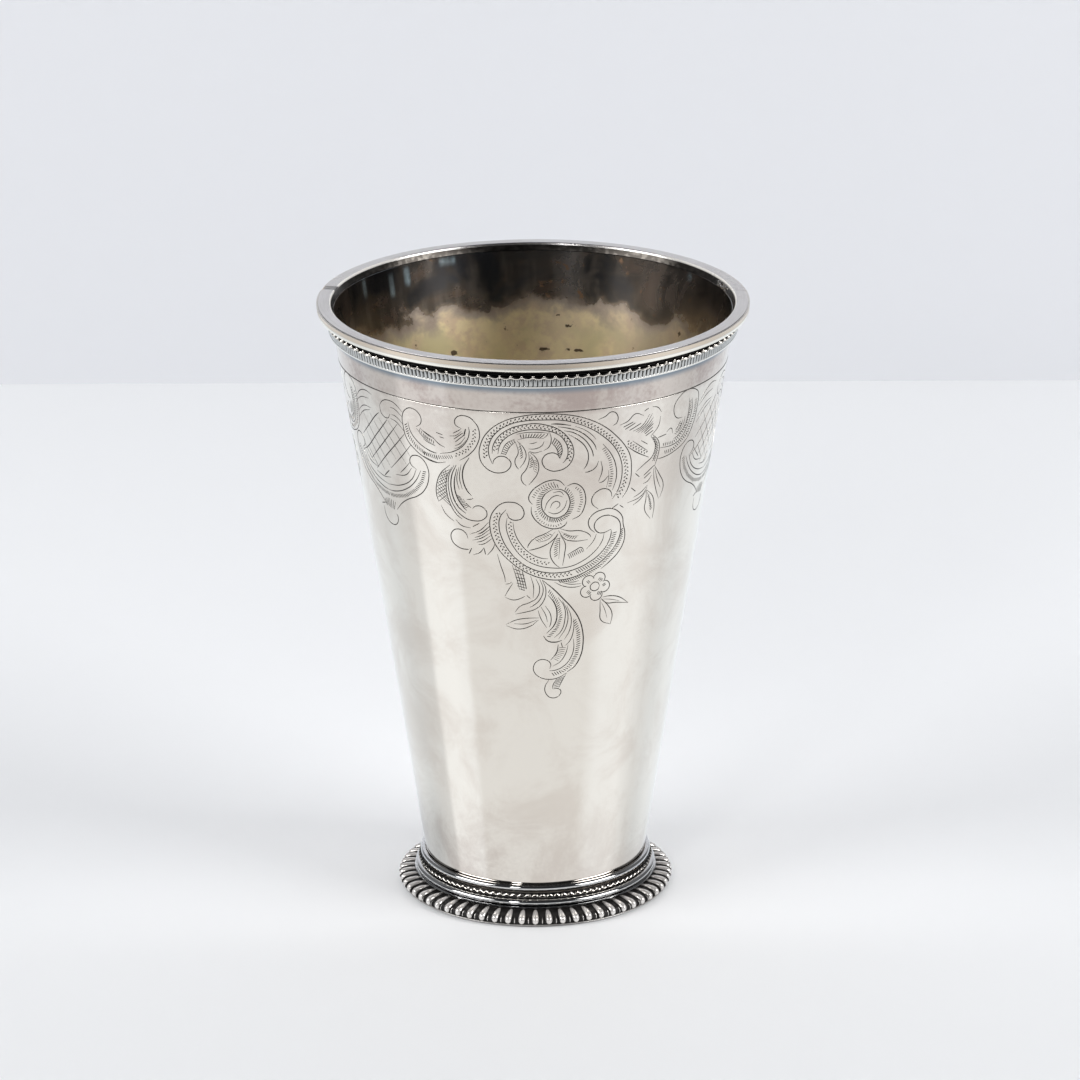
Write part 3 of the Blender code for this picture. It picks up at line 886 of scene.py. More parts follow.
# %% Milled wire
MILLED_COUNT = 104
MILLED_SWING = 0.18
milled_bore = socket_outside(5.6) + SEAT
milled_outline = [(milled_bore + 0.02, 5.25), (milled_bore + 0.02, 6.0), (milled_bore + 0.25, 6.0)]
milled_outline += [(milled_bore + 0.3, 5.85)] + arc(milled_bore + 0.3, 5.62, 0.38, 0.25, 80, -80, 7)
milled_outline += [(milled_bore + 0.3, 5.4), (milled_bore + 0.25, 5.25)]
milled = spun(milled_outline, 8, MILLED_COUNT)
hollow_layer = milled.verts.layers.float["hollow"]
for vertex in milled.verts:
    angle, radius, height = place_of(vertex)
    on_ridge = radius > milled_bore + 0.32
    wave = MILLED_SWING * math.cos(angle * MILLED_COUNT)
    put(vertex, angle, radius, height + on_ridge * wave)
    vertex[hollow_layer] = float(radius <= milled_bore + 0.4)
copy_round(milled, MILLED_COUNT)
finish_piece("milled_ring", milled, bead_silver, ["milled_wire"])

# %% [markdown]
# ## Gadroon border
# The edge of the foot is a cast border of lobes on a blackened ground. Each lobe is a finger that lies
# over the rim: blunt on the shoulder, plump at its outer end, and rolled in under the edge. A thin dart
# stands in each gap. A sphere is stretched along the bent line of the finger, then it and the dart are
# copied round.

# %% Gadroon border
GADROON_COUNT = 62
SHOULDER = 24.75
FOOT_RADIUS = 29.5
GADROON_TOP = 2.85
BELLY = 1.35
UNDERSIDE = 0.32
PLATE_CLEAR = 28.25
LOBE_METALLIC = 0.5
gadroon_bore = socket_outside(GADROON_TOP) + SEAT


def finger(shape, angle, top, foot, half_width, thickness, sides, rings, blunt, black):
    """A plump finger bent over the rim, from one place on its quarter round to another, in degrees."""
    layer = shape.verts.layers.float["hollow"]
    spine_reach = FOOT_RADIUS - 0.02 - SHOULDER - thickness
    spine_rise = GADROON_TOP - 0.05 - BELLY - thickness * 0.72
    made = bmesh.ops.create_uvsphere(shape, u_segments=sides, v_segments=rings, radius=1.0)["verts"]
    for vertex in made:
        side, out, along = vertex.co
        share = (along + 1) / 2
        plump = max(1e-4, 1 - along**2) ** -blunt * (0.68 + 0.32 * math.sin(share * math.pi / 2))
        turn = math.radians(top + (foot - top) * share)
        normal = Vector((math.cos(turn) / spine_reach, math.sin(turn) / spine_rise)).normalized()
        radius = SHOULDER + spine_reach * math.cos(turn) + out * plump * thickness * normal.x
        height = BELLY + spine_rise * math.sin(turn) + out * plump * thickness * normal.y
        put(vertex, angle + side * plump * half_width / radius, radius, max(UNDERSIDE, height))
        vertex[layer] = min(1.0, max(0.0, black - 1.75 * out * plump))


gadroons = bmesh.new()
gadroons.verts.layers.float.new("hollow")
finger(
    gadroons, angle=0.0, top=90, foot=-26, half_width=0.8, thickness=0.8,
    sides=16, rings=14, blunt=0.2, black=1.05,
)
finger(
    gadroons, angle=math.pi / GADROON_COUNT, top=40, foot=-22, half_width=0.2, thickness=0.36,
    sides=6, rings=8, blunt=0.0, black=1.7,
)
copy_round(gadroons, GADROON_COUNT)
ground_outline = [(gadroon_bore, 1.2), (gadroon_bore, 2.35)]
ground_outline += arc(SHOULDER, 1.3, 3.5, 1.05, 90, 0, 8)
ground_outline += [(PLATE_CLEAR + 0.1, 0.58), (28.8, 0.5), (28.86, 0.4), (28.8, UNDERSIDE)]
ground_outline += [(PLATE_CLEAR, UNDERSIDE), (PLATE_CLEAR, 1.2)]
ground = spun(ground_outline, 124)
ground_layer = ground.verts.layers.float["hollow"]
for vertex in ground.verts:
    angle, radius, height = place_of(vertex)
    vertex[ground_layer] = 0.45 if radius > 28.7 else 1.0
ground_mesh = bpy.data.meshes.new("gadroon_ground")
ground.to_mesh(ground_mesh)
ground.free()
gadroons.from_mesh(ground_mesh)
bpy.data.meshes.remove(ground_mesh)
gadroon_silver = silver_material(
    "gadroon_silver", clean=(0.80, 0.77, 0.74), tarnished=(0.62, 0.585, 0.56),
    tarnish=0.5, polish=0.13, scratch=0.008, ragged=0.03,
)
gadroon_silver.node_tree.nodes["Principled BSDF"].inputs["Metallic"].default_value = LOBE_METALLIC
finish_piece("gadroon_lobes", gadroons, gadroon_silver, ["gadroon_border"], sharp=60)

# %% [markdown]
# ## Socket and plate
# Unseen from the camera, a short socket holds the cup and a flat ring plate closes the foot below.

# %% Socket and plate
inner_silver = silver_material("inner_silver", clean=(0.72, 0.69, 0.66), tarnish=0.8, polish=0.3)
socket_outline = [(wall_outside(z) + SEAT, z) for z in (1.2, 6.0)]
socket_outline += [(socket_outside(z), z) for z in (6.0, 1.2)]
finish_piece("socket_ring", spun(socket_outline, 128), inner_silver, ["foot_socket"])
PLATE_BORE = 21.3
PLATE_TOP = 0.9
plate_outline = [(PLATE_BORE, 0.05), (PLATE_BORE + 0.05, 0.0), (27.8, 0.0), (27.9, 0.1), (27.9, 0.7)]
plate_outline += [(27.7, PLATE_TOP), (PLATE_BORE, PLATE_TOP)]
finish_piece("plate_ring", spun(plate_outline, 128), inner_silver, ["foot_plate"])

# %% [markdown]
# ## Engraving
# The ornament was cut with a burin, a small chisel that ploughs a fine V and raises a burr on both sides.
# The wall is a cone, so it unrolls into a flat sheet without stretching. The strokes are drawn on that
# sheet in millimetres, x to the right from the camera's side and y down from the border line. Then the
# sheet is rolled back on to the wall. A stroke is a text of points, as a pen would follow them.

# %% Burin
BORDER_HEIGHT = 118.24
CONE_TAPER = 0.15623
CONE_FOOT = 22.29
LEAN = math.atan(CONE_TAPER)
APEX = (CONE_FOOT + CONE_TAPER * BORDER_HEIGHT) / math.sin(LEAN)
CUT_WIDTH = 0.2
BURR = 0.014
TAPER = 0.42
SHORT_TAPER = 0.75
TICK = 1.5
STROKE_STEP = 0.7
CURVE_STEPS = 5


def points_of(path):
    return [Vector([float(value) for value in pair.split()]) for pair in path.split(",")]


def turned(point, degrees):
    """The same point of the wall on a sheet whose middle line lies that many degrees further left."""
    angle = math.radians(degrees) * math.sin(LEAN)
    up = APEX - point.y
    across_sheet = point.x * math.cos(angle) + up * math.sin(angle)
    return Vector((across_sheet, APEX - up * math.cos(angle) + point.x * math.sin(angle)))


def cut(motif, weight, *paths, turn=0.0):
    """Adds long strokes that swell from a thin start and thin out again."""
    for path in paths:
        motif.append((weight, [turned(point, turn) for point in points_of(path)]))


def walk(points, pitch):
    """Evenly spaced places along a path, each with the direction of travel."""
    stops = []
    left = pitch / 2
    for first, second in zip(points, points[1:]):
        run = (second - first).length
        while left < run:
            stops.append((first.lerp(second, left / run), (second - first) / run))
            left += pitch
        left -= run
    return stops


def hatch(motif, weight, path, pitch, reach, lean=90, turn=0.0):
    """Adds short strokes across a path. With a short reach they are a row of dots."""
    for place, ahead in walk(points_of(path), pitch):
        side = Matrix.Rotation(math.radians(lean), 2) @ ahead * (reach / 2)
        motif.append((weight * 1.05, [turned(place - side, turn), turned(place + side, turn)]))


def wriggle(motif, weight, path, pitch, width, turn=0.0):
    """Adds the two rows of ticks that a burin leaves when it is rocked from side to side along a path."""
    for number, (place, ahead) in enumerate(walk(points_of(path), pitch / 2)):
        side = Matrix.Rotation(math.radians(90 if number % 2 else -90), 2) @ ahead
        centre = place + side * (width * 0.27)
        slant = (side * 0.8 + ahead * 0.6) * (width * 0.25)
        motif.append((weight * TICK, [turned(centre - slant, turn), turned(centre + slant, turn)]))


def rungs(motif, weight, first, second, count, turn=0.0):
    """Adds short strokes that join two paths."""
    ends = []
    for path in (points_of(first), points_of(second)):
        length = sum((b - a).length for a, b in zip(path, path[1:]))
        ends.append([place for place, ahead in walk(path, length / count)])
    for start, end in zip(*ends):
        motif.append((weight, [turned(start, turn), turned(end, turn)]))


def oval(x, y, half_width, half_height, start, end, points):
    """A path on an oval about a point, from one angle to another in degrees."""
    path = []
    for angle in levels(math.radians(start), math.radians(end), points):
        path.append(f"{x + half_width * math.cos(angle):.2f} {y - half_height * math.sin(angle):.2f}")
    return ", ".join(path)


rose = []
panel = []
print("the sheet's centre lies above the border line by mm:", round(APEX, 1))

# %% [markdown]
# ### Crown scroll
# A broad C scroll opens the motif under the border line. It is two lines with rows of dots between them,
# a tight curl at each end and finer lines inside that follow its sweep.

# %% Crown scroll
cut(
    rose, 1.15,
    "-8.4 12.2, -8 11, -6.5 10.2, -5 10.9, -4.6 11.9, -5.2 13.2, -6.5 14, -8.7 13.9, -10.4 12.6,"
    "-11.15 11, -10.9 7.9, -9.3 4.8, -6.5 2.4, -3 1, 1.5 .35, 5 .5, 9 1.35, 12 2.65, 15 4.7, 17.6 7.4,"
    "19.7 10.3, 20.8 12.8, 21.1 15.5, 20.85 18.5, 20.1 20.5, 19 22",
    "-8.5 12.1, -9.2 10, -9.1 7.7, -7.7 5, -5 2.9, -2 1.95, 2 1.7, 6 2, 8.2 2.65, 11.5 4.3, 14.5 6.7,"
    "17 9.6, 18.5 12.8, 18.9 15.5, 18.5 18.5, 17.7 20.4, 16.7 21.7",
    "14.5 8.5, 16.4 11.3, 17.4 14, 17.55 17, 16.7 19.7",
    "16.6 21.2, 16.3 19.9, 15.1 19, 13.5 19.2, 12.3 20.4, 12.2 21.9, 13.6 23.5",
)
cut(rose, 0.8, "15.8 14.9, 15.85 16.5, 15.3 18.9")
wriggle(
    rose, 1.15,
    "-9.9 11, -10 8.4, -9 5.8, -7 3.7, -4.3 2.1, -1.5 1.35, 2 1.05, 5.5 1.25, 8.8 2.1, 11.5 3.5,"
    "13.9 5.2, 15.8 7, 17.5 9.1, 18.9 11.4, 19.7 13.7, 20 15.8, 19.6 18.4, 18.6 20.4, 17.6 21.8",
    0.85, 0.95,
)
hatch(rose, 1.0, "14.6 9.4, 16.1 12.4, 16.6 15.7, 16.1 18.6", 0.55, 0.7)
cut(
    rose, 1.15,
    "-8.5 9.8, -8.3 8, -7.1 5.7, -5 3.9, -3 3.05, -1 2.6, .5 2.5, 3 3, 5 3.9, 7 5.9, 8.2 8.6,"
    "8.1 10.9, 6.9 12.7, 5 13.5, 3.3 13.3, 1.9 11.9, 2 10.3, 3.3 9.35, 4.7 9.6, 5.5 10.8",
    "-7.3 9.8, -6.9 7.7, -5.5 5.8, -4 4.8, -2 4.1, 0 3.9, 2.5 4.15, 5 5.1, 6.5 6.9, 7.1 9, 6.7 11,"
    "6 11.8",
)
wriggle(
    rose, 1.15,
    "-7.9 9.2, -7.5 7.4, -6 5.3, -4 3.9, -1.5 3.25, 1 3.2, 3.5 3.7, 5.7 4.8, 7.2 6.9, 7.7 9.2,"
    "7.2 11.4", 0.85, 0.9,
)
left_rib = ("-6.7 9.8, -5.5 7.2, -3.8 6.1", "-5.7 9.9, -4.8 7.9, -3.7 6.8")
cut(rose, 1.0, *left_rib)
rungs(rose, 0.9, *left_rib, 9)
cut(rose, 0.9, "-3.4 5, -1.5 4.55, 1.5 4.55, 3 4.75", "-3.2 6.2, -1 5.7, 1.9 5.9")
rungs(rose, 1.1, "-3 5.1, -1.5 4.8, 1.5 4.8, 2.6 5", "-2.7 5.9, -1 5.6, 1.6 5.8", 9)
right_rib = ("4.2 5.8, 5.4 7.1, 5.9 9, 5.6 10.3", "3.7 7, 4.8 8.5, 5.2 10.2, 5.5 10.8")
cut(rose, 1.1, *right_rib)
rungs(rose, 1.1, *right_rib, 9)
print("crown strokes:", len(rose))

# %% [markdown]
# ### Ribbon, sprig and acanthus
# Inside the crown a ribbon turns over and two leaves hang from it. To the right the strokes lengthen into
# an acanthus leaf that fills the gap between the two scrolls.

# %% Ribbon, sprig and acanthus
cut(
    rose, 1.0,
    "3.1 4.6, 2.8 5.2, 1.9 6", "3.3 4.5, 3.65 6.2, 3.1 8, 2.1 8.7", "2.2 6.6, 1.7 7.6, .2 8.3, -1 8.3",
    "1.8 8.8, 0 9.2, -.8 8.8", ".8 6.7, 0 7, -.8 7.1",
    "-3.7 6.7, -3.1 9.2, -3.8 11.2, -3.3 12.7, -3 13",
    "-3.3 6.5, -2.1 7.9, -1.5 9.6, -1.8 11.1, -2.8 12.7",
    "-1 9, -.9 11, -1.5 13, -2.5 14.6, -2.2 16.1, -1.4 16.8",
    "-1 8.9, .4 10.2, 1.05 12, .8 14, -.2 15.6, -1 16.6",
)
cut(rose, 0.8, "-3 6.9, -2.6 7.9, -2.2 9.8", "-.7 9.6, .1 11.4, 0 13.2")
hatch(rose, 0.9, "-2.9 7.6, -2.5 8.8, -2.4 10.4", 0.5, 0.7, 50)
hatch(rose, 0.9, "-.5 10.2, -.3 11.4, -.6 12.9", 0.5, 0.8, 50)
hatch(rose, 0.9, ".4 10.8, .6 12, .4 13.6", 0.5, 0.6, 120)
cut(rose, 1.7, "3.6 2.7, 5 2.75, 7.7 3.3")
cut(
    rose, 1.2,
    "5 3.4, 7.2 3.9, 9.5 4.9, 11.5 6.7, 12.8 8.6, 13.1 9.6",
    "6.3 4.4, 8.2 5, 10 6.3, 11.6 8.4, 12.4 10.6, 12.4 11.1",
    "7.2 5.3, 9 6.6, 10.7 8.5, 11.4 10.8, 11 12.8, 10.4 13.7",
    "13.6 12.3, 12.9 13.7, 11.3 14.45, 10.7 14.45", "14.1 12.4, 14.4 14.5, 13.6 17",
    "15.8 16.1, 14.6 17.2, 13.7 17.4",
)
cut(rose, 0.8, "8.6 3.6, 10.5 4.6, 12.3 6.2, 13 7.2")
print("strokes with the acanthus:", len(rose))

# %% [markdown]
# ### Rose
# The open rose has three large petals round a bud. The shading is the engraver's usual one: short strokes
# that run in from the edge of the petal, closer together where it turns under.

# %% Rose
cut(
    rose, 1.2,
    "6.4 17, 5.2 15.8, 3.3 15.65, 1.2 16.6, -.5 18.2, -1 19.9, -.25 21.1",
    "-.5 21.6, -.4 23.3, .8 25.2, 2.7 26.5, 4.9 26.85, 6.5 26.1, 6.9 25.4",
    "6.9 17.2, 8.4 16.75, 9.9 17.7, 10.75 19.7, 10.6 22.3, 9.5 24.3, 8 25",
    oval(4.55, 21, 2.95, 3.4, 100, 460, 10),
)
cut(
    rose, 1.0,
    "2.2 22.6, 3 20.4, 4.6 19.2, 6 19.6", "6.9 20.4, 6.2 22.3, 4.4 23.4, 3 22.9",
    "3.4 22, 4 20.8, 5 20.6, 5.4 21.4, 4.6 22.3", "6.2 19.2, 5.6 18.4, 4 18.5",
)
hatch(rose, 0.9, oval(4.55, 21, 3.6, 4.05, 80, 250, 11), 0.5, 0.95, 70)
hatch(rose, 1.1, oval(4.55, 21, 3.5, 4.0, 250, 330, 7), 0.42, 0.9, 70)
hatch(rose, 0.9, oval(4.55, 21, 3.5, 4.0, -30, 60, 8), 0.5, 0.9, 70)
hatch(rose, 1.0, "8.6 17.6, 9.7 18.6, 10 21, 9.2 23.5", 0.55, 0.6)
hatch(rose, 1.0, ".3 22.5, .9 24.4, 2.6 25.9, 4.6 26.3, 6 25.6", 0.55, 0.45)
hatch(rose, 1.0, "-.2 19.6, .8 17.9, 2.4 16.7, 4.2 16.3", 0.55, 0.6)
cut(
    rose, 1.1,
    "3.9 27, 2.2 28, .1 29, -1.1 30.5, -1.3 31.2", "5 28, 4.1 29.3, 2 30.8, -.3 31.6, -1 31.75",
    "5.4 26.9, 7.2 27.6, 9.8 27.9, 11.6 29, 12 29.7", "5.1 27.3, 6.3 29.3, 8.3 30.1, 11.3 30.2",
    "5 28.2, 3.9 30.3, 3.35 32.5, 4 34.6, 5.5 36.2", "5.5 28.5, 6.5 30.5, 6.35 33, 5.95 35.6",
    "6.9 33.2, 8.8 32.2, 9.9 31.8, 10.5 32.9",
)
cut(rose, 0.8, "4.4 27.6, 3 29.2, 1 29.9", "5.6 27.6, 7.5 28.8, 9.3 29", "5.3 29, 5.35 30.5, 5.15 34")
hatch(rose, 0.9, "3.6 28, 2.2 28.7, .4 29.6", 0.5, 0.8, 60)
hatch(rose, 0.9, "6.2 28.2, 7.4 29.1, 9 29.5", 0.5, 0.8, 120)
hatch(rose, 0.9, "5.1 29, 4.7 30.4, 4.5 32, 4.6 33.4", 0.5, 0.9, 60)
rungs(rose, 0.9, "7 33.3, 8.8 32.4, 10 32.1", "7.3 34.2, 9 33.4, 10.4 32.9", 8)
print("strokes with the rose:", len(rose))

# %% [markdown]
# ### Cradle scroll
# Under the rose a deep U of four lines cradles it. Dots fill the left arm, slanted cuts the right one,
# and both ends roll into curls.

# %% Cradle scroll
cut(
    rose, 1.2,
    "-5.6 23.2, -4.9 24.5, -3.4 24.8, -2.2 24, -2.1 22.4, -3.1 21.1, -4.8 20.7, -6.5 21.1, -8.1 22.7,"
    "-9 24.7, -9.1 27, -8.5 29.6, -7.2 32, -5 34.4, -2.9 36.1, -.5 37.5, 2 38.4, 5 38.9, 8 38.6,"
    "11 37.6, 13.6 36.3, 15.8 34.6, 17.5 32.8, 18.5 30.8, 18.7 28.9, 18.3 27.2, 17 25.9, 15.5 25.3,"
    "13.8 25.6, 12.8 26.7, 13 28.3, 14.3 29.2, 16.5 28.8",
    "-5.7 22.5, -6.9 24.2, -7.2 26.4, -6.6 29.2, -5.2 31.9, -3.2 34.2, -.8 35.9, 2 36.9, 5.5 37.2,"
    "8.5 36.75, 11.5 35.6, 14 34, 15.8 31.8, 16.5 29.8, 16.5 28.9",
    "12.8 28.8, 11.7 27.5, 11.5 25.7, 12.7 24.3, 14.5 23.8, 16.4 23.9, 18.1 25, 19.1 26.6, 19.3 28.3,"
    "19.7 30.2, 19.5 32.4, 18.2 34.6, 16.2 36.3, 14.2 37.6",
)
cut(
    rose, 1.0,
    "-5.5 24.4, -5.7 26.5, -5.1 29, -3.9 31.5, -2 33.7, .5 35.2, 3.5 35.95, 7 36.05, 10 35.1,"
    "12.7 33.3, 14.5 31, 14.9 29.4",
    "-4.3 25.3, -3.9 27.8, -2.7 30.3, -.8 32.4, 1.5 33.6, 2.9 33.8", "11 32.4, 12.6 30.6, 13.2 29.2",
    "16.7 23.9, 18.1 23.2", "18.4 23.6, 19.3 24.4",
)
wriggle(
    rose, 1.15,
    "-7.1 23.2, -7.9 24.4, -8.1 26.8, -7.4 29.6, -5.9 32.3, -3.8 34.6, -1.6 36.2, 1 37.3, 4.5 37.95,"
    "8 37.6", 0.85, 0.9,
)
hatch(rose, 1.0, "8.8 37.5, 12 36.3, 14.6 34.7, 16.6 32.3, 17.4 29.5", 0.52, 1.0, 70)
wriggle(rose, 1.1, "-5 25.2, -4.7 28.2, -3.5 30.8, -1.4 33.1, 1 34.5, 3.2 35", 0.85, 0.8)
hatch(
    rose, 1.1,
    "19 29.2, 18.9 31.2, 17.9 33.2, 16.2 35, 14 36.8, 11.2 38.2, 8 39.1, 5.2 39.3", 0.45, 0.7, 60,
)
cut(
    rose, 1.0,
    "4.2 39.3, 6 40.4, 8.5 40.95, 9.9 40.8", "5.4 39.3, 7.4 40.1, 9.9 40.3",
    "6 39.3, 8.2 39.7, 9.4 39.5",
)
print("strokes with the cradle:", len(rose))

# %% [markdown]
# ### Small flower and tail
# A five-petalled flower hangs to the right on two leaves. The tail of the motif is a bundle of long
# strokes that sweep down to a last small scroll.

# %% Small flower
cut(
    rose, 1.15,
    oval(12.9, 41.5, 1.05, 1.0, 0, 360, 7), "14.3 44.6, 15.6 46, 17.6 46.4, 20.8 47.4",
    "14.6 44.4, 16.4 44.5, 18.6 45.4, 20.8 47.4", "14.1 44.8, 14.1 47.4, 14.3 49.8, 16.5 51.3",
    "14.4 44.9, 16 46.8, 16.9 49, 16.5 51.3",
)
cut(rose, 0.8, "14.8 44.9, 16.6 45.4, 18.6 46.3", "14.4 45.6, 15.2 47.6, 15.7 49.6")
for spot in (
    "11.2 40.4, 11.8 39.9", "11.2 42.3, 11.8 43", "13.4 43.1, 14.2 43.4", "14.8 41.2, 15.2 41.9",
    "13.7 39.8, 14.4 40.3",
):
    hatch(rose, 0.95, spot, 0.34, 0.8)
for aim in levels(62.0, 350.0, 5):
    turn = math.radians(aim)
    petal = Vector((12.9, 41.5)) + 2.0 * Vector((math.cos(turn), -math.sin(turn)))
    cut(rose, 1.1, oval(petal.x, petal.y, 1.35, 1.35, aim - 112, aim + 112, 7))
print("strokes with the flower:", len(rose))

# %% Tail
cut(
    rose, 1.0,
    "-7.6 33, -6.9 35.6, -6.1 38.2, -5.95 39.4", "-5.9 39.9, -5.2 39.7, -4.6 39.3",
    "-4.4 39.6, -5.2 41, -6.1 42.8", "-6 43, -4.3 43.5, -2.5 42.9, -1.9 42.5", "-1.5 42.3, -.7 43.1",
    "-4.5 35.3, -3.5 38.7, -3 41", "-3.9 35.6, -3 38.6, -2.5 41", "-3.2 36.1, -2.4 39, -2 41.2",
    "-2.4 36.7, -1.55 40.8", "-.7 37.8, -.1 40.2, -.2 42.9",
    ".4 38.4, 1.15 40.6, .6 42.8, -1 44, -2.9 44.9, -4 46.4",
    "1.2 38.5, 1.9 41, 1.2 43.3, -.2 44.7, -.9 45.1",
    "1.7 38.7, 2.45 41, 1.9 43.8, .3 45.5, -2 46.3, -3.9 46.8",
    "5 43, 6.3 45.3, 6.4 48.4, 5.6 51, 4.2 52.4", "5.9 43.8, 7 46.8, 6.7 50, 5.1 52.8",
    "6.8 45, 7.75 48, 7.4 51, 6.3 53", "8.3 48.3, 8.25 51, 7.5 53.4, 6.4 54.6",
    "1 47.6, -1.5 47.7, -3.8 48.2, -5.9 49.4", ".9 48.1, -.9 49.6, -3.5 50.3, -5.8 49.7",
    ".6 48.1, -1.8 49, -4.2 49.1", ".8 45.8, 1.4 47.8, 2.6 50", "1.4 45, 2.4 47, 2.75 48.6",
    "2.3 44.8, 3.4 46.9, 3.4 49.2, 3.1 49.9", "5.6 53.7, 5.9 54.8",
    "7.1 54.3, 6.6 56.3, 5.4 58.2, 3.8 59.2",
    "8.2 53.1, 8.3 55.3, 7.6 57.6, 6.2 59.3, 4.2 60.2, 3.1 60.2",
    "3.2 59.8, 3.4 58.6, 2.4 57.6, .8 57.7, -.15 59, 0 60.5, 1.2 61.7, 3 62.25, 5 62, 6.8 61",
    "3 62.4, 2.2 64, 2.4 65.6, 3.6 66.7, 5.1 66.3, 5.5 65.1, 4.6 64.5, 3.9 64.6",
    "4.7 62.2, 3.9 63.6, 3.8 64.6", "6.7 61.2, 5.7 63, 5.1 64.4",
)
cut(
    rose, 1.45,
    "1.8 38.8, 3.9 40.8, 6 43.3, 8 45.9, 9.4 48.5, 10.2 51.5, 10.3 54.7, 9.8 57.3, 8.5 59.6, 6.9 60.8",
    "2.9 42.3, 4.2 44.2, 4.75 46.6, 4.3 49.2, 2.6 51.3", "1.9 51.9, 2.8 53.1, 4.4 53.5, 5.8 53.2",
    "5 54.1, 4.7 55.9, 3.4 57.7",
)
cut(
    rose, 0.9,
    "-4.2 36.2, -2.8 36.7", "-4 37.1, -2 37.6", "-3.8 38.1, -1.8 38.5", "-3.5 38.8, -1.7 39.2",
    "-3.6 39.5, -1.7 39.9", "-3.5 40.1, -1.7 40.6", "-2.9 40.8, -1.9 41.2",
)
hatch(rose, 0.95, "3 41.2, 4.9 44.2, 5.6 47.6, 4.7 50.2, 3 52.2", 0.5, 0.8, 60)
rungs(rose, 0.6, "5.2 54.6, 4.9 56, 3.9 57.5", "6.7 54.8, 6.2 56.4, 4.9 58.2", 8)
hatch(rose, 1.0, "8.4 48.6, 9.3 51.6, 9.3 54.6, 8.8 57, 7.6 59.2, 5.8 60.6, 3.6 61.2", 0.52, 0.9, 70)
rungs(rose, 0.7, "4.6 62.4, 4.1 63.4, 4 64.4", "6.4 61.6, 5.7 63, 5.2 64.2", 6)
print("strokes with the tail:", len(rose))

# %% [markdown]
# ### Left acanthus and shell
# On the left an acanthus leaf climbs beside the crown scroll, with its strokes thick on the shaded side,
# and a small shell spreads under it.

# %% Left acanthus and shell
cut(
    rose, 1.15,
    "-17.7 13.9, -19.8 16.2, -20.9 19, -21 21.7, -20.5 23.2", "-20 23.8, -18.9 25.6, -17 26.9",
    "-16.6 26.4, -15.3 27.5, -13.3 27.7", "-12.8 27.3, -11.4 26.3",
    "-17.3 14.3, -18.5 17, -18.6 20, -17.8 23, -16.3 25.2, -15.1 26",
    "-16.8 13.8, -18 16.5, -18 20.3, -17 23.2, -15 25.3, -12.5 25.9, -10.4 25.2, -9.7 23.9,"
    "-10.5 22.5, -12.1 22.4, -12.8 23.1",
    "-15.7 14, -16.2 17, -15.7 19.2", "-15.2 13.3, -15.6 16.5, -15 19",
    "-12.6 20.6, -13.2 21, -14.1 21.2", "-14.9 21.2, -13.8 22.5, -13.1 23",
    "-13.9 30.3, -14.4 29.1, -16 28.5, -17.5 29.5, -17.6 31.4, -16.2 32.7, -14.2 32.9, -13.6 32.7",
    "-13.1 32.4, -13.7 33.8", "-12.9 34, -11.2 33, -10.4 31.8", "-10.4 32, -10.1 33.4",
    "-9.7 33.5, -8.5 31.8, -8.1 30.7", "-9.4 25.8, -11.2 27.9, -13.5 29.2",
    "-9.1 27.4, -11.2 29.2, -12.4 29.8", "-9.1 28.2, -11 29.7, -12.9 30.5",
    "-8.9 28.8, -10.9 30.4, -12 30.8", "-8.7 29.5, -10.5 31, -11.6 31.3",
)
cut(
    rose, 1.6,
    "-16.3 13.6, -17.4 16.5, -17.3 20.5, -16 23.2, -14.3 24.5",
    "-16.2 14.5, -16.8 18, -16.2 21, -14.7 23.2, -14.1 23.8",
    "-13.4 11.4, -14.7 14, -14.8 17, -13.8 19.3, -13 20.1", "-9.1 26.6, -10.9 28.4, -11.8 28.9",
)
for edge_path, rib_path in (
    ("-18.6 14.9, -20 16.7, -20.8 19.2, -20.9 21.6", "-18.4 16.8, -18.6 20, -18.2 22.2, -17.4 23.9"),
    ("-19.6 16, -20.8 19, -20.9 21.6, -20.3 23.4", "-17.6 14.6, -18.5 17, -18.6 20, -18.4 21.4"),
):
    rungs(rose, 0.72, edge_path, rib_path, 9)
rungs(rose, 0.9, "-16.4 20.4, -15.4 22.2, -14.3 23.4", "-15.5 20.8, -14.8 21.8, -13.6 22.9", 8)
print("strokes with the left leaf:", len(rose))

# %% [markdown]
# ### Side scrolls
# Between rose and panel lies a C scroll on its back, on each side, with ribs like a shell inside it. On
# the right a branch with leaves crosses it. Their outer parts were read on sheets that face the camera
# less obliquely.

# %% Left side scroll
cut(
    rose, 1.15,
    "-15 5, -16.4 4.2, -16 2.5, -14 1.9, -12.2 2.9, -11.15 5.2, -11.6 8, -13.5 10.8, -15.5 12.4",
    "-13.5 4.3, -13.3 5.4, -14.3 8.3, -16.7 10.5, -20 11.8", "-21.8 8.3, -20.2 9.6, -18.8 10.1",
    "-24 13.5, -21 14.05, -20.3 14",
)
cut(
    rose, 1.0,
    "-15.2 5.2, -16.9 6.4", "-15 5.6, -16.3 6.8, -17.7 7.2", "-14.7 5.9, -16.7 7.7",
    "-14.4 6.3, -16.4 8.3", "-14.2 6.8, -15.5 8.6, -16.5 9.2", "-14 7.5, -15.5 9.3, -16.6 9.9",
    "-20.8 7.1, -19.3 7.3", "-20 7.9, -19 8", "-24 7.6, -21.9 8.4", "-24 9.4, -22.8 9.9, -21.1 10.3",
    "-24 11.3, -22.5 11.8, -21 12.05",
)
cut(rose, 1.6, "-14.1 4.9, -14.5 6.6")
wriggle(rose, 1.1, "-12.2 4.5, -12.3 7.2, -14 9.9, -16.6 11.5", 0.85, 0.8)
hatch(rose, 0.95, "-17 11.8, -20 12.7, -24 12.8", 0.52, 0.9, 70)
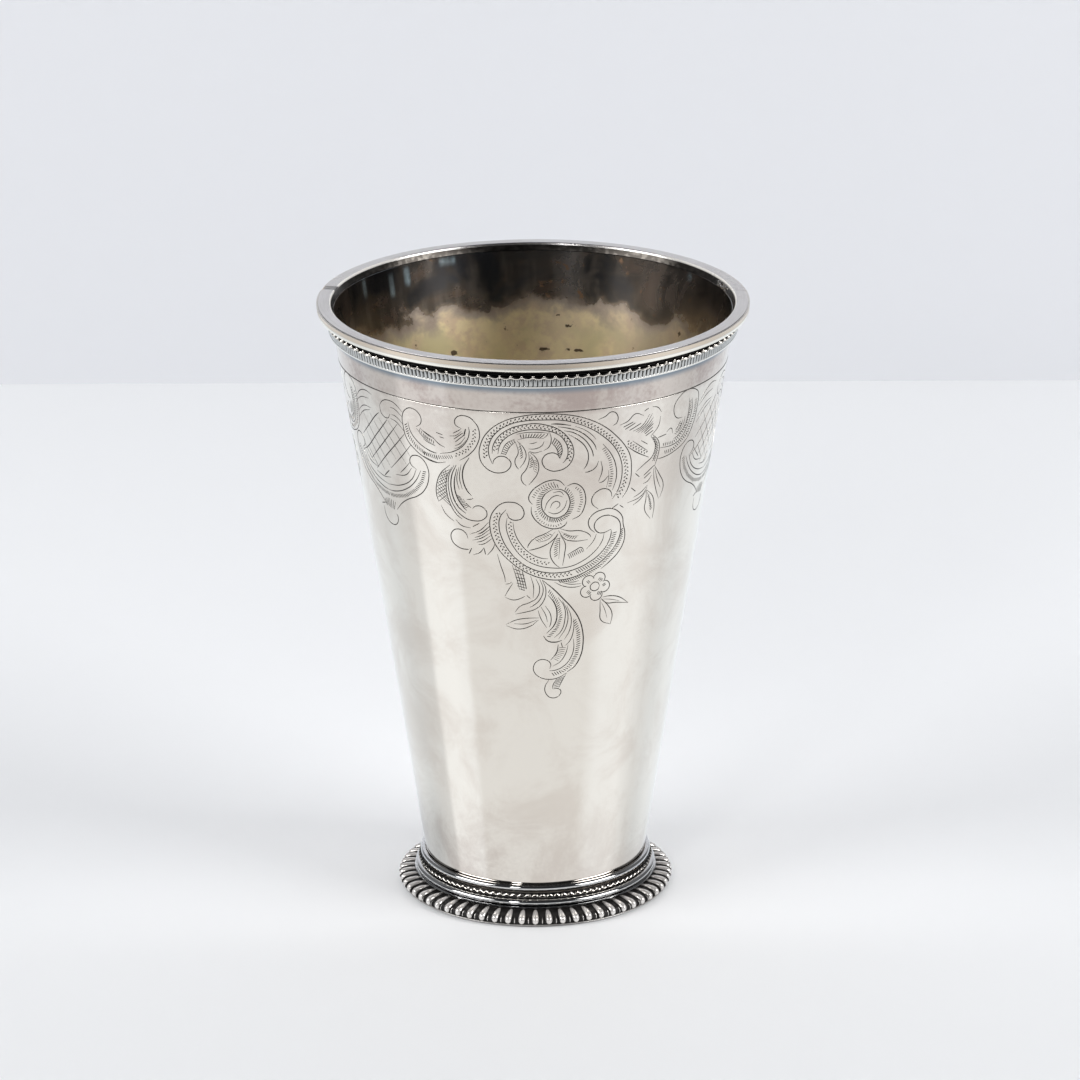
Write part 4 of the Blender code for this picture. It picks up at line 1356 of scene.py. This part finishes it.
hatch(rose, 0.9, "-24 8.5, -22.4 9.1, -21.4 9.6", 0.5, 0.6, 70)
LEFT_SHEET = -52.0
cut(
    rose, 1.1,
    "10.4 6.1, 11.8 5, 11.8 3.2, 10 2, 8.1 2.6, 7 4.2, 6.8 6.5, 7.3 9.3, 8.9 11.2, 11.3 12.8,"
    "14.2 13.65, 16.5 13.3",
    "8.3 5.3, 8.7 7.5, 10.4 9.6, 12.8 11, 14.8 11.5", turn=LEFT_SHEET,
)
hatch(rose, 1.0, "7.6 5.8, 7.9 8.4, 9.6 10.6, 12 12, 14.6 12.6", 0.5, 0.9, 65, LEFT_SHEET)
cut(rose, 0.9, "11.3 6.2, 13 7.5, 14.6 8.3", "10.4 6.4, 11.8 8.1, 14.5 9.7", turn=LEFT_SHEET)
hatch(rose, 0.9, "11 6.6, 12.6 8.2, 14.4 9", 0.55, 0.6, 60, LEFT_SHEET)
print("strokes with the left scroll:", len(rose))

# %% Right side scroll and branch
cut(
    rose, 1.1,
    "13.5 2.75, 15 2.3, 16.4 1.5, 17.6 2.3, 17.6 4.2, 16.7 4.75",
    "18.3 5, 20.1 4.5, 21.9 3.25, 23.9 4.2", "24.1 3.2, 25.1 2.85", "26.1 2.8, 27.5 3.4, 28.5 4.8",
    "28.3 5.7, 27.8 7.8, 25.8 9.6", "19.1 5.65, 21.4 5", "19.5 6.25, 21.9 5.35", "20.5 6.75, 23.3 5.8",
    "21.4 7.15, 23.6 6.5, 25.4 4.3", "22 7.5, 24.3 6.6, 26.1 4.4", "22.5 7.8, 25 6.7, 26.4 5.3",
    "23.3 8, 25.5 6.9, 26.3 6.2", "24 8.2, 26.4 6.8", "24.3 8.6, 26.3 7.6", "24.5 9.1, 26.4 8.4",
    "21.3 9.4, 23.3 11.2, 25 12.7", "25.8 9.5, 26.9 11.3, 27 13, 26.2 14.6, 24.4 15.6, 22.3 16.8",
    "26.3 9.4, 27.8 11.2, 28.2 13, 27.8 15, 27 17", "22.1 17.2, 23.1 18.3", "24.2 18.3, 26.9 16.8",
    "24.3 19, 26 18.1", "24.1 20.2, 25.2 20, 26.3 18.9", "21.1 20.3, 22.2 21.4",
    "25.2 20.9, 23.5 22.1, 21.7 22.7", "25.2 21.3, 23.7 22.9, 20.2 23.6", "25 22, 23.5 23.6, 21.6 24.5",
    "27 16.9, 28.3 19.2, 29.7 22.6, 28.8 25.1", "26.8 17.5, 27 20.2, 27.6 22.8, 28.4 25.2",
    "27.1 17.4, 27.9 20.5, 28.8 22.7", "25 21.9, 24.9 24.2, 24.6 26.4, 26.2 29.2",
    "25.1 22, 26.6 23.8, 27.2 26.2, 26.8 29.3", "25.2 22.5, 26.1 25.4, 26.1 27",
)
cut(rose, 1.4, "20.1 10.4, 22.3 12.3, 25.4 14.4")
cut(rose, 0.9, "23.4 9.9, 25 11.2")
wriggle(rose, 1.1, "20 9.2, 21.8 11, 24.8 13.2", 0.85, 0.9)
hatch(rose, 0.9, "25.5 23.2, 26 25, 26.4 27", 0.5, 0.7, 60)
for lean in (45, 135):
    hatch(rose, 0.75, "26.4 10, 27.5 12, 27.5 13.4, 26.8 15.4", 0.55, 1.1, lean)
RIGHT_SHEET = 62.0
cut(
    rose, 1.1,
    "-8.2 6.2, -9.9 6, -11.1 4.7, -11.3 2.8, -10 1.1, -8 .2, -6 .3, -4.5 .9, -3.5 1.7, -3 5, -3.7 9,"
    "-5.5 11.8, -9 13.6, -12.7 14.4, -14 14.4",
    "-6.7 2.2, -6.2 5, -6.6 8, -8.8 10.2, -10 10.7",
    "-5.6 2.5, -5 5, -6.3 9.7, -8 11.3, -10 12, -13.8 12", "-8.5 7, -9.8 9",
    "-7.8 6.8, -8.2 8.2, -9.3 9.6", "-7.2 6.2, -7.4 8, -8.6 9.6", "-12.5 8.6, -11.3 8, -10.6 9.3",
    "-14.8 9.5, -12.5 9.1", turn=RIGHT_SHEET,
)
hatch(rose, 1.0, "-4 3, -3.7 6, -5.5 10.5, -10 13.2, -12.5 13.3", 0.55, 0.9, 70, RIGHT_SHEET)
hatch(
    rose, 1.0,
    "-6.1 2.8, -5.6 5, -6.5 8.9, -8.4 10.7, -10 11.4, -13.4 11.4", 0.55, 0.75, 70, RIGHT_SHEET,
)
hatch(rose, 0.9, "-8.1 7.4, -8.6 8.7, -9.6 9.7", 0.5, 0.7, 70, RIGHT_SHEET)
print("strokes with the right scroll:", len(rose))

# %% [markdown]
# ### Latticed panel
# Each panel is a diagonal lattice in a frame of scrolls with a drop below it. The lines that rise to the
# right were cut deeper than those that cross them. The left half of the frame is the mirror of the right
# one.

# %% Latticed panel
PANEL_AXIS = -0.9
cut(
    panel, 1.35,
    "-9 12.5, -5.5 9.5, -1.5 5.9, -.6 5.3", "-10.2 16.5, -7.5 15, -3 11, .5 7.7, 2 6.2",
    "-6.5 17.4, -2 13.4, 2 9.6, 5.1 6.5", "-4.6 19, 0 14.7, 4 11.1, 7 8.2", "1 17.4, 5 13.8, 8.2 10.6",
    "-1.8 19.8, .1 18.2",
)
cut(
    panel, 0.85,
    "-4.3 6.3, 0 11.3, 3 14.9", "-7.3 7, -3.5 11.8, 1 17.4", "-7.5 10.5, -4.3 14.7, -1.5 18.5",
    "-1 6.5, 2.5 10.7, 6 15.4", "2.2 6.3, 5 9.8, 7.5 13.3", "-7 14.9, -3.8 18.6",
)
cut(
    panel, 1.1,
    "-9.8 4.3, -7 2, -4.5 1.35, -2.4 1.7", "-10 5.3, -7 3.5, -4 3", "-9.8 7.6, -6.5 5.3, -3.5 5",
    "-9.8 9, -7 6.7, -4 5.6", ".1 3.4, 1.5 2, 3.5 1.5, 5.3 1.9, 7.1 3.4", "3.6 3, 5 3.2, 6.8 4.5",
    "3.7 4.6, 5 4.8, 6.8 6.2", "3.2 5.6, 4.8 6, 6.9 7.8", ".1 3.4, .4 5.2, 2.2 5.8, 3.3 4.6",
)


def mirrored(path):
    return ", ".join(f"{2 * PANEL_AXIS - point.x:.2f} {point.y:.2f}" for point in points_of(path))


for flip in (str, mirrored):
    for path in (
        "8.6 16, 7.3 15, 7.5 13.6, 9 12.8, 10.6 13.2, 11.8 15.2, 11.6 17.8, 10.1 20.5, 8 22.2, 5 23.6,"
        "3 24.9, .8 27",
        "7.1 14.8, 5 16.8, 3.8 17.8", "7.4 16, 5.5 17.9, 2.3 18.6", "8.7 16, 7 18.6, 3.5 20.7, -.9 21.6",
        "9.9 16.1, 8 18.8, 5 21.2, 1 22.7, -.9 22.9",
    ):
        cut(panel, 1.2, flip(path))
    hatch(panel, 1.1, flip("10.9 16, 9.8 18.6, 7.6 21, 4.5 22.9, 1 23.8, -.9 23.9"), 0.52, 0.85, 70)
cut(
    panel, 1.1,
    "-4.8 19.6, -2 20.1, .4 19.7", "-4.8 27, -3.3 26.5",
    "-4.2 27.5, -3.6 30, -1.7 31, .2 30.3, .7 28.5, .4 28.1",
)
rungs(panel, 1.0, "-3.6 25.6, -1.6 24.9, .9 25.4", "-3 26.6, -1.8 27, 0 27.3", 7)
print("panel strokes:", len(panel))

# %% [markdown]
# ### Rolling on
# The drawn strokes become thin ridged strips: two burrs with a dark groove between. Each motif is rolled
# on three times. The spacing is the engraver's, not a compass's: the two panels that can be seen are a
# little more than a third of a turn apart, so the roses between the others are drawn a little narrower.

# %% Rolling on
section = bpy.data.curves.new("burin_section", "CURVE")
section.dimensions = "2D"
# Each corner of the groove's section is its place across, its height and how black it is.
GROOVE_SIDE = ((-0.5, -0.6, 0.8), (-0.46, 0.7, 0.3), (-0.38, 0.3, 1.0))
GROOVE = GROOVE_SIDE + tuple((-aside, up, black) for aside, up, black in reversed(GROOVE_SIDE))
line = section.splines.new("POLY")
line.points.add(len(GROOVE) - 1)
for point, (aside, up, black) in zip(line.points, GROOVE):
    point.co = (aside * CUT_WIDTH, up * BURR, 0, 1)
burin = bpy.data.objects.new("burin_section", section)
bpy.context.scene.collection.objects.link(burin)


def flat_strokes(motif):
    """The motif's strokes as one flat mesh, with the groove's section run along each of them."""
    curve = bpy.data.curves.new("strokes", "CURVE")
    curve.dimensions = "3D"
    curve.twist_mode = "Z_UP"
    curve.bevel_mode = "OBJECT"
    curve.bevel_object = burin
    curve.resolution_u = CURVE_STEPS
    for weight, points in motif:
        if len(points) == 2:
            pieces = 1 + int((points[1] - points[0]).length / STROKE_STEP)
            points = [points[0].lerp(points[1], share) for share in levels(0.0, 1.0, pieces + 1)]
            spline = curve.splines.new("POLY")
            knots = spline.points
            taper = SHORT_TAPER
        else:
            spline = curve.splines.new("BEZIER")
            knots = spline.bezier_points
            taper = TAPER
        knots.add(len(points) - 1)
        for knot, point in zip(knots, points):
            knot.co = (point.x, -point.y, 0, 1)[:len(knot.co)]
            knot.radius = weight
        knots[0].radius = weight * taper
        knots[-1].radius = weight * taper
        if spline.type == "BEZIER":
            for knot in knots:
                knot.handle_left_type = "AUTO"
                knot.handle_right_type = "AUTO"
    holder = bpy.data.objects.new("strokes", curve)
    bpy.context.scene.collection.objects.link(holder)
    graph = bpy.context.evaluated_depsgraph_get()
    mesh = bpy.data.meshes.new_from_object(holder.evaluated_get(graph))
    bpy.data.objects.remove(holder)
    return mesh


cut_silver = silver_material(
    "cut_silver", clean=(0.86, 0.82, 0.76), tarnished=(0.76, 0.70, 0.64), oxide=(0.055, 0.05, 0.046),
    tarnish=0.4, polish=0.2,
)


def roll_on(name, strokes, turn, squeeze=1.0):
    shape = bmesh.new()
    shape.from_mesh(strokes)
    layer = shape.verts.layers.float.new("hollow")
    for index, vertex in enumerate(shape.verts):
        x, up, out = vertex.co.x, APEX + vertex.co.y, vertex.co.z
        angle = math.atan2(x, up) / math.sin(LEAN) * squeeze + math.radians(turn)
        height = (math.hypot(x, up) * math.sin(LEAN) - CONE_FOOT) / CONE_TAPER
        radius = wall_outside(height) + hammer_wave(angle, height)
        put(vertex, angle, radius + out * math.cos(LEAN), height - out * math.sin(LEAN))
        vertex[layer] = GROOVE[index % len(GROOVE)][2]
    bmesh.ops.recalc_face_normals(shape, faces=shape.faces[:])
    finish_piece(name, shape, cut_silver, sharp=30)


rose_strokes = flat_strokes(rose)
panel_strokes = flat_strokes(panel)
NEXT_TURN = 124.8
BACK_TURN = -117.6
NARROW = 0.945
NARROW_SHIFT = 2.5
roll_on("engraved_rose_1", rose_strokes, 0.0)
roll_on("engraved_rose_2", rose_strokes, NEXT_TURN - NARROW_SHIFT, NARROW)
roll_on("engraved_rose_3", rose_strokes, BACK_TURN - NARROW_SHIFT, NARROW)
for number, turn in enumerate((0.0, NEXT_TURN, BACK_TURN), 1):
    roll_on(f"engraved_panel_{number}", panel_strokes, LEFT_SHEET + turn)
bpy.data.objects.remove(burin)

# %% [markdown]
# ### Border line
# One line is cut right round the wall above the ornament. Its lower burr stands higher than its upper
# one.

# %% Border line
# Each corner of the line's section is its height above the middle and how far it stands out from the wall.
BORDER_SECTION = ((0.14, -0.02), (0.11, 0.006), (-0.03, 0.006), (-0.13, 0.055), (-0.17, -0.02))
border_outline = [(wall_outside(BORDER_HEIGHT) + out, BORDER_HEIGHT + up) for up, out in BORDER_SECTION]
border = spun(border_outline, WALL_STEPS * 2)
hollow_layer = border.verts.layers.float["hollow"]
for vertex in border.verts:
    angle, radius, height = place_of(vertex)
    up = height - BORDER_HEIGHT
    vertex[hollow_layer] = float(-0.05 < up < 0.12)
    put(vertex, angle, radius + up * CONE_TAPER + hammer_wave(angle, BORDER_HEIGHT), height)
finish_piece("engraved_border", border, cut_silver, sharp=20)
